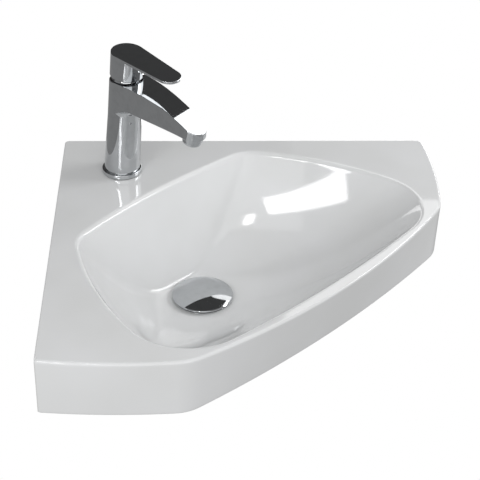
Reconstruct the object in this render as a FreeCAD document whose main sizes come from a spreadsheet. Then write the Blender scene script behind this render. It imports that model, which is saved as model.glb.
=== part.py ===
"""Wall-hung corner basin with a single-lever mixer and a click waste.

Frame: the origin is the room corner where the two wall faces of the basin meet, at the height of
the deck.  +X runs along the back wall, -Y along the left wall, +Z is up.  The basin is symmetric
about the vertical plane through the room corner at 45 degrees to both walls; in this file u is the
distance from the corner along that diagonal, and v the distance to its left-hand side.
"""

import FreeCAD, Part
import math
import os

import Sketcher

Vector = FreeCAD.Vector
Rotation = FreeCAD.Rotation
Placement = FreeCAD.Placement

UP = Vector(0, 0, 1)
LATERAL = Vector(0, 1, 0)
FULL_TURN = 360.0
DIAGONAL_TURN = -45.0

# ---------------------------------------------------------------------------------------------
# Driving dimensions, millimetres and degrees
# ---------------------------------------------------------------------------------------------

SIZES = {
    # basin, seen from above
    "overall": 450.0,
    "wall_corner_radius": 5.0,
    "end_arc_radius": 580.0,
    "end_arc_middle": 88.0,
    "front_arc_radius": 815.0,
    "front_reach": 452.0,
    "soft_corner_radius": 55.0,
    # foot of the apron
    "apron_height": 68.0,
    "foot_end_inset": 3.0,
    "foot_end_radius": 800.0,
    "foot_front_inset": 15.0,
    "foot_front_radius": 1500.0,
    "foot_corner_radius": 45.0,
    "deck_thickness": 12.0,
    "apron_wall": 12.0,
    "bowl_wall": 12.0,
    "front_edge_round": 3.5,
    "wall_edge_round": 1.5,
    "foot_edge_round": 2.0,
    "rim_round": 7.0,
    # bowl
    "bowl_depth": 118.5,
    "bowl_back": 166.5,
    "bowl_front": 438.0,
    "bowl_back_radius": 870.0,
    "bowl_front_radius": 1300.0,
    "bowl_side_radius": 378.5,
    "bowl_side_centre_u": 406.9,
    "bowl_side_centre_v": 163.1,
    "bowl_back_corner": 28.0,
    "bowl_front_corner": 72.0,
    "floor_back_corner": 20.0,
    "floor_front_corner": 30.0,
    "floor_back_run": 34.0,
    "floor_front_run": 38.0,
    "floor_side_inset": 111.0,
    "back_steepness": 2.0,
    "side_steepness": 2.0,
    "front_steepness": 1.6,
    # holes of the ceramic
    "drain_u": 239.0,
    "waste_hole_radius": 23.0,
    "flange_recess_radius": 33.0,
    "flange_recess_depth": 4.0,
    "waste_boss_radius": 37.0,
    "waste_boss_depth": 22.0,
    "tap_u": 103.5,
    "tap_hole_radius": 17.5,
    "tap_boss_radius": 31.0,
    "tap_boss_depth": 20.0,
    "fixing_hole_radius": 6.0,
    "fixing_hole_along": 330.0,
    "fixing_hole_drop": 42.0,
    "fixing_boss_radius": 17.0,
    "fixing_boss_depth": 6.0,
    # mixer: column and spout
    "tap_lean": 5.8,
    "ring_radius": 23.5,
    "ring_height": 6.0,
    "groove_radius": 20.4,
    "groove_height": 2.4,
    "ring_bore": 15.4,
    "gasket_radius": 22.6,
    "gasket_height": 0.9,
    "column_foot_radius": 21.4,
    "column_top_radius": 19.8,
    "arch_radius": 240.0,
    "arch_crown_reach": 37.0,
    "arch_crown_height": 132.7,
    "spout_tip_reach": 110.8,
    "spout_tip_half": 14.2,
    "belly_root_height": 99.8,
    "belly_tip_height": 107.2,
    "belly_tip_reach": 106.0,
    "belly_round": 13.0,
    "flare_rise": 2.6,
    "spout_edge_round": 0.8,
    "belly_edge_round": 0.5,
    "nozzle_reach": 109.4,
    "nozzle_height": 98.8,
    "nozzle_tilt": 9.3,
    "nozzle_radius": 12.1,
    "nozzle_lip": 4.6,
    "nozzle_bore": 10.3,
    "nozzle_bore_depth": 9.6,
    "channel_radius": 3.5,
    "channel_start": 12.0,
    "channel_start_height": 99.6,
    "channel_bend": 38.0,
    "channel_height": 112.0,
    "seat_height": 102.0,
    "cartridge_bore": 17.8,
    "nut_bore": 18.5,
    "hose_thread_radius": 5.0,
    "hose_thread_depth": 16.0,
    "hose_reach": 6.0,
    "hose_side": 7.5,
    "port_radius": 2.4,
    "port_reach": 4.6,
    "port_side": 5.0,
    "port_tower": 4.2,
    "outlet_radius": 3.0,
    "outlet_reach": 6.5,
    "seat_recess_radius": 15.0,
    "seat_recess_depth": 3.0,
    "plug_hole_radius": 1.5,
    "plug_height": 79.5,
    "plug_turn": -24.0,
    "plug_depth": 5.0,
    # mixer: cartridge
    "pivot_height": 124.0,
    "base_thickness": 2.1,
    "base_clearance": 0.1,
    "base_lift": 0.2,
    "seal_inner_radius": 2.7,
    "seal_outer_radius": 4.0,
    "seal_height": 1.1,
    "fixed_disc_radius": 15.4,
    "fixed_disc_thickness": 2.8,
    "disc_gap": 0.05,
    "moving_disc_radius": 10.8,
    "moving_disc_thickness": 2.4,
    "carrier_radius": 11.0,
    "carrier_thickness": 4.4,
    "carrier_flat": 8.6,
    "guide_clearance": 0.05,
    "guide_width": 2.4,
    "ball_radius": 2.2,
    "ball_clearance": 0.1,
    "arm_radius": 1.7,
    "lever_arm": 12.0,
    "housing_radius": 17.7,
    "chamber_radius": 15.6,
    "shoulder_height": 117.0,
    "neck_radius": 13.5,
    "neck_height": 127.0,
    "roof_thickness": 1.0,
    "turret_radius": 11.45,
    "turret_clearance": 0.05,
    "turret_flange": 14.4,
    "turret_flange_height": 1.7,
    "turret_lift": 0.25,
    "turret_top": 127.5,
    "turret_slot": 8.4,
    "turret_slot_half": 9.6,
    "stem_side": 8.0,
    "stem_block_low": 7.0,
    "stem_block_high": 5.6,
    "stem_clearance": 0.1,
    "stem_neck_radius": 3.5,
    "pin_radius": 1.5,
    "nut_height": 5.2,
    "nut_notch": 2.2,
    "nut_clearance": 0.1,
    "dome_radius": 17.6,
    "dome_thickness": 1.4,
    "dome_opening": 9.5,
    "dome_base": 122.4,
    # mixer: lever
    "cap_radius": 19.5,
    "cap_top_height": 164.0,
    "cap_skirt_height": 133.8,
    "cap_wall": 2.7,
    "cavity_height": 149.0,
    "blade_reach": 66.3,
    "blade_tip_radius": 14.5,
    "blade_thickness": 3.0,
    "socket_base": 144.0,
    "socket_depth": 13.0,
    "socket_clearance": 0.1,
    "grub_radius": 2.5,
    "grub_height": 153.5,
    "grub_length": 11.0,
    "index_radius": 3.0,
    "index_depth": 2.4,
    # aerator
    "aerator_radius": 11.05,
    "aerator_thread": 10.2,
    "aerator_height": 12.0,
    "aerator_inner": 9.2,
    "aerator_lip": 8.5,
    "aerator_lip_height": 1.2,
    "insert_radius": 9.1,
    "insert_height": 7.6,
    "insert_hole": 0.8,
    "insert_ring_pitch": 2.6,
    "washer_height": 1.6,
    "washer_bore": 7.4,
    # tap fixing below the deck
    "stud_radius": 4.0,
    "stud_reach": -10.5,
    "stud_top": 24.0,
    "stud_bottom": -62.0,
    "thread_clearance": 0.05,
    "horseshoe_radius": 24.0,
    "horseshoe_opening": 13.5,
    "horseshoe_opening_reach": 8.5,
    "horseshoe_mouth": 9.0,
    "horseshoe_rubber": 3.0,
    "horseshoe_steel": 2.5,
    "stud_nut_flats": 13.0,
    "stud_nut_height": 14.0,
    # waste
    "flange_radius": 32.4,
    "flange_thickness": 2.5,
    "throat_radius": 20.4,
    "throat_depth": 3.5,
    "flange_seal_thickness": 1.0,
    "tail_radius": 20.95,
    "tail_bore": 18.2,
    "tail_length": 76.0,
    "shank_relief": 0.3,
    "trap_gap": 2.0,
    "seal_inner": 21.2,
    "seal_outer": 31.5,
    "hole_seal_radius": 22.7,
    "hole_seal_reach": 6.0,
    "cone_seal_height": 3.5,
    "slip_washer_height": 1.5,
    "backnut_height": 10.0,
    "backnut_radius": 29.5,
    "backnut_lug": 3.2,
    "spider_drop": 16.5,
    "spider_height": 6.0,
    "click_radius": 8.4,
    "click_bore": 6.9,
    "click_shoulder_radius": 10.6,
    "click_shoulder_height": 2.5,
    "click_length": 46.0,
    "click_floor": 3.0,
    "spindle_radius": 3.95,
    "spindle_clearance": 0.08,
    "spindle_collar": 6.6,
    "spindle_collar_height": 3.0,
    "spindle_collar_drop": 8.3,
    "window_inner": 11.6,
    "window_outer": 17.2,
    "window_half_turn": 34.0,
    "spindle_tail": 9.0,
    "spindle_thread": 7.6,
    "spring_radius": 5.3,
    "spring_wire": 0.45,
    "spring_turns": 6.0,
    "cap_gap": 3.0,
    "disc_radius": 36.25,
    "disc_edge": 2.2,
    "disc_chamfer": 0.9,
    "disc_rise": 3.2,
    "disc_boss_radius": 8.0,
    "disc_boss_depth": 5.0,
    "cap_seal_inner": 25.6,
    "cap_seal_outer": 30.0,
    "cap_seal_gap": 0.3,
}

doc = FreeCAD.newDocument("corner_basin")
sheet = doc.addObject("Spreadsheet::Sheet", "Sizes")
for row, (alias, number) in enumerate(SIZES.items(), start=1):
    sheet.set("A%d" % row, alias)
    sheet.set("B%d" % row, str(number))
    sheet.setAlias("B%d" % row, alias)
doc.recompute()


class Size:
    """A length together with the spreadsheet expression that gives it."""

    def __init__(self, value, text):
        self.value = value
        self.text = text

    @staticmethod
    def of(other):
        return other if isinstance(other, Size) else Size(float(other), "%r" % float(other))

    def _with(self, other, sign, value):
        return Size(value, "(%s %s %s)" % (self.text, sign, Size.of(other).text))

    def __add__(self, other):
        return self._with(other, "+", self.value + Size.of(other).value)

    def __sub__(self, other):
        return self._with(other, "-", self.value - Size.of(other).value)

    def __mul__(self, other):
        return self._with(other, "*", self.value * Size.of(other).value)

    def __truediv__(self, other):
        return self._with(other, "/", self.value / Size.of(other).value)

    def __radd__(self, other):
        return Size.of(other) + self

    def __rmul__(self, other):
        return Size.of(other) * self

    def __rsub__(self, other):
        return Size.of(other) - self

    def __neg__(self):
        return Size.of(0.0) - self


class Sheet:
    """Reads a size by its alias: S.tap_u is the cell with that alias."""

    def __getattr__(self, alias):
        return Size(float(sheet.get(alias)), "Sizes." + alias)


S = Sheet()
V = {alias: float(sheet.get(alias)) for alias in SIZES}

# ---------------------------------------------------------------------------------------------
# Small modelling vocabulary
# ---------------------------------------------------------------------------------------------


def new_body(label):
    body = doc.addObject("PartDesign::Body", label)
    body.Label = label
    return body


def origin_plane(body, role):
    return [item for item in body.Origin.OriginFeatures if item.Role == role][0]


def new_sketch(body, name, role, offset=None):
    """A sketch on one of the body's own planes, moved along its normal by the offset."""
    sketch = body.newObject("Sketcher::SketchObject", name)
    sketch.AttachmentSupport = [(origin_plane(body, role), "")]
    sketch.MapMode = "FlatFace"
    if offset is not None:
        sketch.setExpression("AttachmentOffset.Base.z", Size.of(offset).text)
    return sketch


def pin_point(sketch, geometry, end, x, y):
    """Holds one end of a line at (x, y) through bound dimensions."""
    for kind, axis, size in (("DistanceX", -2, Size.of(x)), ("DistanceY", -1, Size.of(y))):
        if abs(size.value) < 1e-9:
            sketch.addConstraint(Sketcher.Constraint("PointOnObject", geometry, end, axis))
            continue
        index = sketch.addConstraint(Sketcher.Constraint(kind, -1, 1, geometry, end, size.value))
        sketch.setExpression("Constraints[%d]" % index, size.text)


def bulge_middle(start, end, radius):
    """Middle of a shallow arc; a positive radius bulges to the right of the way it runs."""
    chord = end.sub(start)
    half = chord.Length / 2.0
    rise = abs(radius) - math.sqrt(radius ** 2 - half ** 2)
    right = Vector(chord.y, -chord.x, 0).normalize()
    return (start + end) * 0.5 + right * math.copysign(rise, radius)


def draw_outline(sketch, points, arcs=None):
    """Closed outline through (x, y) sizes, each corner held by its own two dimensions.

    arcs maps the number of a side to the radius of its arc, where it isn't straight.
    """
    arcs = arcs or {}
    places = [Vector(Size.of(x).value, Size.of(y).value, 0) for x, y in points]
    count = len(points)
    ends = []
    for index in range(count):
        start = places[index]
        end = places[(index + 1) % count]
        if index in arcs:
            radius = Size.of(arcs[index])
            middle = bulge_middle(start, end, radius.value)
            forward = radius.value > 0
            arc = Part.Arc(start, middle, end) if forward else Part.Arc(end, middle, start)
            number = sketch.addGeometry(arc, False)
            ends.append((number, 1, 2) if forward else (number, 2, 1))
        else:
            number = sketch.addGeometry(Part.LineSegment(start, end), False)
            ends.append((number, 1, 2))
    for index in range(count):
        number, _, last = ends[index]
        following, first, _ = ends[(index + 1) % count]
        sketch.addConstraint(Sketcher.Constraint("Coincident", number, last, following, first))
    for index, (x, y) in enumerate(points):
        number, first, _ = ends[index]
        pin_point(sketch, number, first, x, y)
    for index, radius in arcs.items():
        size = Size.of(radius)
        shown = size if size.value > 0 else -size
        held = Sketcher.Constraint("Radius", ends[index][0], shown.value)
        sketch.setExpression("Constraints[%d]" % sketch.addConstraint(held), shown.text)


def draw_circle(sketch, radius, x=0.0, y=0.0):
    centre = Vector(Size.of(x).value, Size.of(y).value, 0)
    circle = sketch.addGeometry(Part.Circle(centre, UP, Size.of(radius).value), False)
    index = sketch.addConstraint(Sketcher.Constraint("Radius", circle, Size.of(radius).value))
    sketch.setExpression("Constraints[%d]" % index, Size.of(radius).text)
    pin_point(sketch, circle, 3, x, y)


def turn(body, name, points, arcs=None, kind="Revolution"):
    """Revolves a (radius, height) outline about the body's Z axis."""
    sketch = new_sketch(body, name + "_outline", "XZ_Plane")
    draw_outline(sketch, points, arcs)
    feature = body.newObject("PartDesign::" + kind, name)
    feature.Profile = (sketch, [""])
    feature.ReferenceAxis = (sketch, ["V_Axis"])
    feature.Angle = FULL_TURN
    return feature


def pad(body, name, sketch, length, reverse=False, midplane=False):
    feature = body.newObject("PartDesign::Pad", name)
    feature.Profile = (sketch, [""])
    feature.setExpression("Length", Size.of(length).text)
    feature.Reversed = reverse
    feature.Midplane = midplane
    return feature


def pocket(body, name, sketch, length, reverse=False, midplane=False):
    """Cuts along the sketch's normal backwards, or forwards when reversed."""
    feature = body.newObject("PartDesign::Pocket", name)
    feature.Profile = (sketch, [""])
    feature.setExpression("Length", Size.of(length).text)
    feature.Reversed = reverse
    feature.Midplane = midplane
    return feature


def drill(body, name, radius, top, depth, x=0.0, y=0.0):
    """A round hole going down from the given height."""
    sketch = new_sketch(body, name + "_circle", "XY_Plane", top)
    draw_circle(sketch, radius, x, y)
    return pocket(body, name, sketch, depth)


def ring(body, name, inner, outer, low, high):
    return turn(body, name, [(inner, low), (outer, low), (outer, high), (inner, high)])


def disc(body, name, outer, low, high):
    return turn(body, name, [(0, low), (outer, low), (outer, high), (0, high)])


def fillet(body, name, radius, chosen, kind="Fillet"):
    """Rounds, or chamfers, the edges of the body's tip that the test accepts."""
    doc.recompute()
    base = body.Tip
    names = ["Edge%d" % (i + 1) for i, edge in enumerate(base.Shape.Edges) if chosen(edge)]
    feature = body.newObject("PartDesign::" + kind, name)
    feature.Base = (base, names)
    key = "Radius" if kind == "Fillet" else "Size"
    feature.setExpression(key, Size.of(radius).text)
    return feature


def radius_of(edge):
    return edge.Curve.Radius if isinstance(edge.Curve, Part.Circle) else 0.0


def is_level(edge, height, slack=0.01):
    box = edge.BoundBox
    return abs(box.ZMin - height) < slack and abs(box.ZMax - height) < slack


def on_diagonal(u, z=0.0, lean=0.0):
    """Placement of a piece on the diagonal plane, its local X pointing away from the corner."""
    side = u / math.sqrt(2.0)
    turned = Rotation(UP, DIAGONAL_TURN)
    return Placement(Vector(side, -side, z), turned.multiply(Rotation(LATERAL, lean)))


# ---------------------------------------------------------------------------------------------
# Outlines of the basin: chains of arcs that run into each other
# ---------------------------------------------------------------------------------------------


def diagonal_to_plan(u, v):
    root = math.sqrt(2.0)
    return Vector((u + v) / root, (v - u) / root, 0)


def mirror_v(point):
    """The same point on the other side of the diagonal, in plan coordinates."""
    return Vector(-point.y, -point.x, point.z)


def blend_centre(first, first_radius, second, second_radius, radius):
    """Centre of the circle that lies inside two circles and touches both.

    Of the two such centres it takes the one with the greater x + y.
    """
    near = first_radius - radius
    far = second_radius - radius
    gap = second.sub(first)
    length = gap.Length
    along = (length ** 2 + near ** 2 - far ** 2) / (2.0 * length)
    across = math.sqrt(near ** 2 - along ** 2)
    direction = Vector(gap).normalize()
    normal = Vector(-direction.y, direction.x, 0)
    foot = first + direction * along
    choices = (foot + normal * across, foot - normal * across)
    return max(choices, key=lambda point: point.x + point.y)


def touch(big_centre, small_centre, small_radius):
    """Point where a circle touches a larger one from the inside."""
    return small_centre + (small_centre.sub(big_centre)).normalize() * small_radius


def arc_between(centre, radius, start, end, towards):
    middle = centre + (Vector(towards).sub(centre)).normalize() * radius
    return Part.Arc(start, middle, end)


def plan_outline(end_reach, end_radius, front_reach, front_radius, soft_radius, inset=0.0,
                 overhang=0.0):
    """The basin from above, at one height, as arcs and lines in plan coordinates.

    An inset draws the outline of the hollow side, one wall thickness inside.  An overhang
    carries the two straight sides past the walls, to be trimmed flat afterwards.
    """
    end_centre = Vector(end_reach - end_radius, -V["end_arc_middle"], 0)
    front_centre = diagonal_to_plan(front_reach - front_radius, 0)
    end_radius = end_radius - inset
    front_radius = front_radius - inset
    soft_radius = soft_radius - inset
    wall_y = overhang - inset
    half_chord = math.sqrt(end_radius ** 2 - (wall_y - end_centre.y) ** 2)
    wall_end = Vector(end_centre.x + half_chord, wall_y, 0)
    soft_centre = blend_centre(front_centre, front_radius, end_centre, end_radius, soft_radius)
    end_touch = touch(end_centre, soft_centre, soft_radius)
    front_touch = touch(front_centre, soft_centre, soft_radius)
    front_apex = front_centre + (diagonal_to_plan(1, 0)) * front_radius
    corner = V["wall_corner_radius"]
    corner_start = Vector(-wall_y, wall_y - corner, 0)
    corner_end = Vector(corner - wall_y, wall_y, 0)
    bend = corner * (1.0 - math.sqrt(0.5))
    corner_middle = Vector(bend - wall_y, wall_y - bend, 0)
    end_middle = (wall_end + end_touch) * 0.5
    soft_middle = (end_touch + front_touch) * 0.5
    right_end = arc_between(end_centre, end_radius, wall_end, end_touch, end_middle)
    right_soft = arc_between(soft_centre, soft_radius, end_touch, front_touch, soft_middle)
    left_soft = arc_between(mirror_v(soft_centre), soft_radius, mirror_v(front_touch),
                            mirror_v(end_touch), mirror_v(soft_middle))
    left_end = arc_between(mirror_v(end_centre), end_radius, mirror_v(end_touch),
                           mirror_v(wall_end), mirror_v(end_middle))
    return [
        Part.Arc(corner_start, corner_middle, corner_end),
        Part.LineSegment(corner_end, wall_end),
        right_end,
        right_soft,
        Part.Arc(front_touch, front_apex, mirror_v(front_touch)),
        left_soft,
        left_end,
        Part.LineSegment(mirror_v(wall_end), corner_start),
    ]


def wall_profile(depth_share, steepness):
    """Share of the way from rim to floor that the wall has come in at a share of the depth."""
    return 1.0 - (1.0 - depth_share) ** (1.0 / steepness)


def mix(start, end, share):
    return start + (end - start) * share


def bowl_outline(depth_share, grow=0.0):
    """The bowl's inside at one depth, as eight arcs; grow draws the outside of its wall."""
    back_share = wall_profile(depth_share, V["back_steepness"])
    side_share = wall_profile(depth_share, V["side_steepness"])
    front_share = wall_profile(depth_share, V["front_steepness"])
    back = mix(V["bowl_back"], V["drain_u"] - V["floor_back_run"], back_share) - grow
    front = mix(V["bowl_front"], V["drain_u"] + V["floor_front_run"], front_share) + grow
    side_radius = V["bowl_side_radius"] - V["floor_side_inset"] * side_share + grow
    back_corner = mix(V["bowl_back_corner"], V["floor_back_corner"], side_share) + grow
    front_corner = mix(V["bowl_front_corner"], V["floor_front_corner"], front_share) + grow
    back_radius = V["bowl_back_radius"] + grow
    front_radius = V["bowl_front_radius"] + grow
    back_centre = diagonal_to_plan(back + back_radius, 0)
    front_centre = diagonal_to_plan(front - front_radius, 0)
    side_centre = diagonal_to_plan(V["bowl_side_centre_u"], -V["bowl_side_centre_v"])
    near = blend_centre(back_centre, back_radius, side_centre, side_radius, back_corner)
    far = blend_centre(front_centre, front_radius, side_centre, side_radius, front_corner)
    near_back = touch(back_centre, near, back_corner)
    near_side = touch(side_centre, near, back_corner)
    far_side = touch(side_centre, far, front_corner)
    far_front = touch(front_centre, far, front_corner)
    near_middle = (near_back + near_side) * 0.5
    far_middle = (far_side + far_front) * 0.5
    side_middle = (near_side + far_side) * 0.5
    half = [
        arc_between(near, back_corner, near_back, near_side, near_middle),
        arc_between(side_centre, side_radius, near_side, far_side, side_middle),
        arc_between(far, front_corner, far_side, far_front, far_middle),
    ]
    other = [
        arc_between(mirror_v(far), front_corner, mirror_v(far_front), mirror_v(far_side),
                    mirror_v(far_middle)),
        arc_between(mirror_v(side_centre), side_radius, mirror_v(far_side), mirror_v(near_side),
                    mirror_v(side_middle)),
        arc_between(mirror_v(near), back_corner, mirror_v(near_side), mirror_v(near_back),
                    mirror_v(near_middle)),
    ]
    front_arc = Part.Arc(far_front, diagonal_to_plan(front, 0), mirror_v(far_front))
    back_arc = Part.Arc(mirror_v(near_back), diagonal_to_plan(back, 0), near_back)
    return half + [front_arc] + other + [back_arc]


def outline_sketch(body, name, curves, height):
    sketch = new_sketch(body, name, "XY_Plane", height)
    sketch.addGeometry(curves, False)
    return sketch


def loft(body, name, sketches, kind, ruled=False):
    feature = body.newObject("PartDesign::" + kind, name)
    feature.Profile = (sketches[0], [""])
    feature.Sections = [(sketch, [""]) for sketch in sketches[1:]]
    feature.Ruled = ruled
    return feature


# ---------------------------------------------------------------------------------------------
# Basin
# ---------------------------------------------------------------------------------------------

BOWL_SHARES = (0.06, 0.15, 0.26, 0.39, 0.53, 0.67, 0.79, 0.885, 0.95, 0.985, 1.0)
ABOVE_DECK = 3.0
ABOVE_FLOOR = 20.0
BOSS_ROOT = 4.0
WALL_OVERHANG = 2.0
SHELL_START = 0.045


def deck_outline(inset=0.0, overhang=0.0):
    return plan_outline(V["overall"], V["end_arc_radius"], V["front_reach"],
                        V["front_arc_radius"], V["soft_corner_radius"], inset, overhang)


def foot_outline(inset=0.0, overhang=0.0):
    return plan_outline(V["overall"] - V["foot_end_inset"], V["foot_end_radius"],
                        V["front_reach"] - V["foot_front_inset"], V["foot_front_radius"],
                        V["foot_corner_radius"], inset, overhang)


def bowl_sections(body, name, shares, grow, drop):
    """Sketches of the bowl's outline from the rim down to the floor, lowered by up to drop."""
    sections = []
    for index, share in enumerate(shares):
        height = -(S.bowl_depth * share) - Size.of(drop) * share
        label = "%s_%d" % (name, index)
        sections.append(outline_sketch(body, label, bowl_outline(share, grow), height))
    return sections


def add_apron(body):
    top = outline_sketch(body, "deck_line", deck_outline(overhang=WALL_OVERHANG), 0.0)
    foot = outline_sketch(body, "foot_line", foot_outline(overhang=WALL_OVERHANG),
                          -S.apron_height)
    loft(body, "apron", [top, foot], "AdditiveLoft", ruled=True)


def trim_walls(body):
    """Cuts the two flat faces that lie on the walls, and the round of the corner between."""
    sketch = new_sketch(body, "wall_faces", "XY_Plane", ABOVE_DECK)
    corner = S.wall_corner_radius
    far = S.overall + 2.0 * WALL_OVERHANG
    out = 3.0 * WALL_OVERHANG
    draw_outline(sketch, [(-out, out), (-out, -far), (0, -far), (0, -corner), (corner, 0),
                          (far, 0), (far, out)], {3: -corner})
    pocket(body, "wall_trim", sketch, S.apron_height + 2.0 * ABOVE_DECK)


def cut_underside(body):
    top = outline_sketch(body, "hollow_top", deck_outline(V["apron_wall"]), -S.deck_thickness)
    foot = outline_sketch(body, "hollow_foot", foot_outline(V["apron_wall"]), -S.apron_height)
    loft(body, "hollow", [top, foot], "SubtractiveLoft", ruled=True)


def add_bowl_shell(body):
    shares = (SHELL_START,) + BOWL_SHARES[1:]
    grow = V["bowl_wall"]
    sections = bowl_sections(body, "shell", shares, grow, S.bowl_wall)
    loft(body, "bowl_shell", sections, "AdditiveLoft")


def diagonal_point(u):
    side = u / math.sqrt(2.0)
    return side, -side


def add_boss(body, name, radius, u, top, bottom):
    sketch = new_sketch(body, name + "_circle", "XY_Plane", top)
    x, y = diagonal_point(u)
    draw_circle(sketch, radius, x, y)
    pad(body, name, sketch, top - bottom, reverse=True)


def cut_bowl(body):
    above = -ABOVE_DECK / V["bowl_depth"]
    shares = (above,) + BOWL_SHARES
    loft(body, "bowl", bowl_sections(body, "bowl", shares, 0.0, 0.0), "SubtractiveLoft")


def drill_diagonal(body, name, radius, u, top, depth):
    sketch = new_sketch(body, name + "_circle", "XY_Plane", top)
    x, y = diagonal_point(u)
    draw_circle(sketch, radius, x, y)
    pocket(body, name, sketch, depth)


def wall_fixing(body, name, role, along):
    """Boss inside a wall flange and the clearance hole for its fixing bolt."""
    boss = new_sketch(body, name + "_boss_circle", role, S.apron_wall / 2.0)
    draw_circle(boss, S.fixing_boss_radius, along, -S.fixing_hole_drop)
    pad(body, name + "_boss", boss, S.fixing_boss_depth + S.apron_wall / 2.0)
    hole = new_sketch(body, name + "_circle", role, -ABOVE_DECK)
    draw_circle(hole, S.fixing_hole_radius, along, -S.fixing_hole_drop)
    depth = S.apron_wall + S.fixing_boss_depth + 2.0 * ABOVE_DECK
    pocket(body, name, hole, depth, reverse=True)


def is_outer_run(edge):
    """A deck edge on the free ends and front, as opposed to the walls."""
    return is_level(edge, 0.0) and radius_of(edge) > 2.0 * V["wall_corner_radius"]


def is_wall_run(edge):
    """A deck edge along the walls, with the round of the corner between them."""
    corner = abs(radius_of(edge) - V["wall_corner_radius"]) < 0.01
    return is_level(edge, 0.0) and (corner or isinstance(edge.Curve, Part.Line))


def is_rim(edge):
    return is_level(edge, 0.0) and isinstance(edge.Curve, Part.BSplineCurve)


def is_foot_run(edge):
    """The outer foot edge of the free ends and front."""
    if not is_level(edge, -V["apron_height"]) or not isinstance(edge.Curve, Part.Circle):
        return False
    hollow_radii = (V["foot_end_radius"], V["foot_front_radius"], V["foot_corner_radius"])
    return any(abs(edge.Curve.Radius - radius) < 0.01 for radius in hollow_radii)


def build_basin():
    body = new_body("basin")
    add_apron(body)
    trim_walls(body)
    cut_underside(body)
    add_bowl_shell(body)
    floor = -S.bowl_depth
    add_boss(body, "waste_boss", S.waste_boss_radius, V["drain_u"], floor - BOSS_ROOT,
             floor - S.waste_boss_depth)
    add_boss(body, "tap_boss", S.tap_boss_radius, V["tap_u"], -S.deck_thickness / 2.0,
             -S.tap_boss_depth)
    wall_fixing(body, "right_fixing", "XZ_Plane", S.fixing_hole_along)
    wall_fixing(body, "left_fixing", "YZ_Plane", -S.fixing_hole_along)
    cut_bowl(body)
    fillet(body, "rim_round", S.rim_round, is_rim)
    fillet(body, "front_round", S.front_edge_round, is_outer_run)
    fillet(body, "wall_round", S.wall_edge_round, is_wall_run)
    fillet(body, "foot_round", S.foot_edge_round, is_foot_run)
    drill_diagonal(body, "flange_recess", S.flange_recess_radius, V["drain_u"],
                   floor + ABOVE_FLOOR, S.flange_recess_depth + ABOVE_FLOOR)
    drill_diagonal(body, "waste_hole", S.waste_hole_radius, V["drain_u"], floor,
                   S.waste_boss_depth + ABOVE_DECK)
    drill_diagonal(body, "tap_hole", S.tap_hole_radius, V["tap_u"], ABOVE_DECK,
                   S.tap_boss_depth + 2.0 * ABOVE_DECK)
    return body


# ---------------------------------------------------------------------------------------------
# Mixer: body
# ---------------------------------------------------------------------------------------------

LEAN = Size(V["tap_lean"], "Sizes.tap_lean")
LEAN_SINE = Size(math.sin(math.radians(V["tap_lean"])), "sin(Sizes.tap_lean)")
LEAN_COSINE = Size(math.cos(math.radians(V["tap_lean"])), "cos(Sizes.tap_lean)")
SPOUT_SAMPLES = 8
COLUMN_ROOT = 6.0
TRIM_FLOOR = 80.0
TRIM_TOP = 150.0
OUTSIDE = 60.0


def leaning_sketch(body, name, reach, height, tilt, axis=LATERAL):
    """A sketch across an axis through (reach, height) that is tilted about the axis given."""
    sketch = body.newObject("Sketcher::SketchObject", name)
    sketch.AttachmentSupport = [(origin_plane(body, "XY_Plane"), "")]
    sketch.MapMode = "FlatFace"
    base = Vector(reach.value, 0, height.value)
    sketch.AttachmentOffset = Placement(base, Rotation(axis, tilt.value))
    sketch.setExpression("AttachmentOffset.Base.x", reach.text)
    sketch.setExpression("AttachmentOffset.Base.z", height.text)
    sketch.setExpression("AttachmentOffset.Rotation.Angle", tilt.text)
    return sketch


def upright_sketch(body, name, height):
    """A level sketch in a leaning body, at a height above the deck."""
    reach = -(LEAN_SINE * height)
    return leaning_sketch(body, name, reach, LEAN_COSINE * height, LEAN, -LATERAL)


def spout_half_width(reach):
    """Half width of the spout: an even swing from the column's side to the tip's."""
    share = (1.0 + math.cos(math.pi * reach / V["spout_tip_reach"])) / 2.0
    return V["spout_tip_half"] + (V["column_top_radius"] - V["spout_tip_half"]) * share


def spout_side(sign):
    points = []
    for step in range(SPOUT_SAMPLES + 1):
        reach = V["spout_tip_reach"] * step / SPOUT_SAMPLES
        points.append(Vector(reach, sign * spout_half_width(reach), 0))
    curve = Part.BSplineCurve()
    ahead = Vector(1, 0, 0)
    curve.interpolate(Points=points, InitialTangent=ahead, FinalTangent=ahead)
    return curve


def spout_outline():
    """The spout from above, starting inside the column."""
    root = V["column_top_radius"]
    tip = V["spout_tip_half"]
    reach = V["spout_tip_reach"]
    back = Part.Arc(Vector(0, root, 0), Vector(-root, 0, 0), Vector(0, -root, 0))
    nose = Part.Arc(Vector(reach, -tip, 0), Vector(reach + tip, 0, 0), Vector(reach, tip, 0))
    return [back, spout_side(-1.0), nose, spout_side(1.0)]


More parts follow.
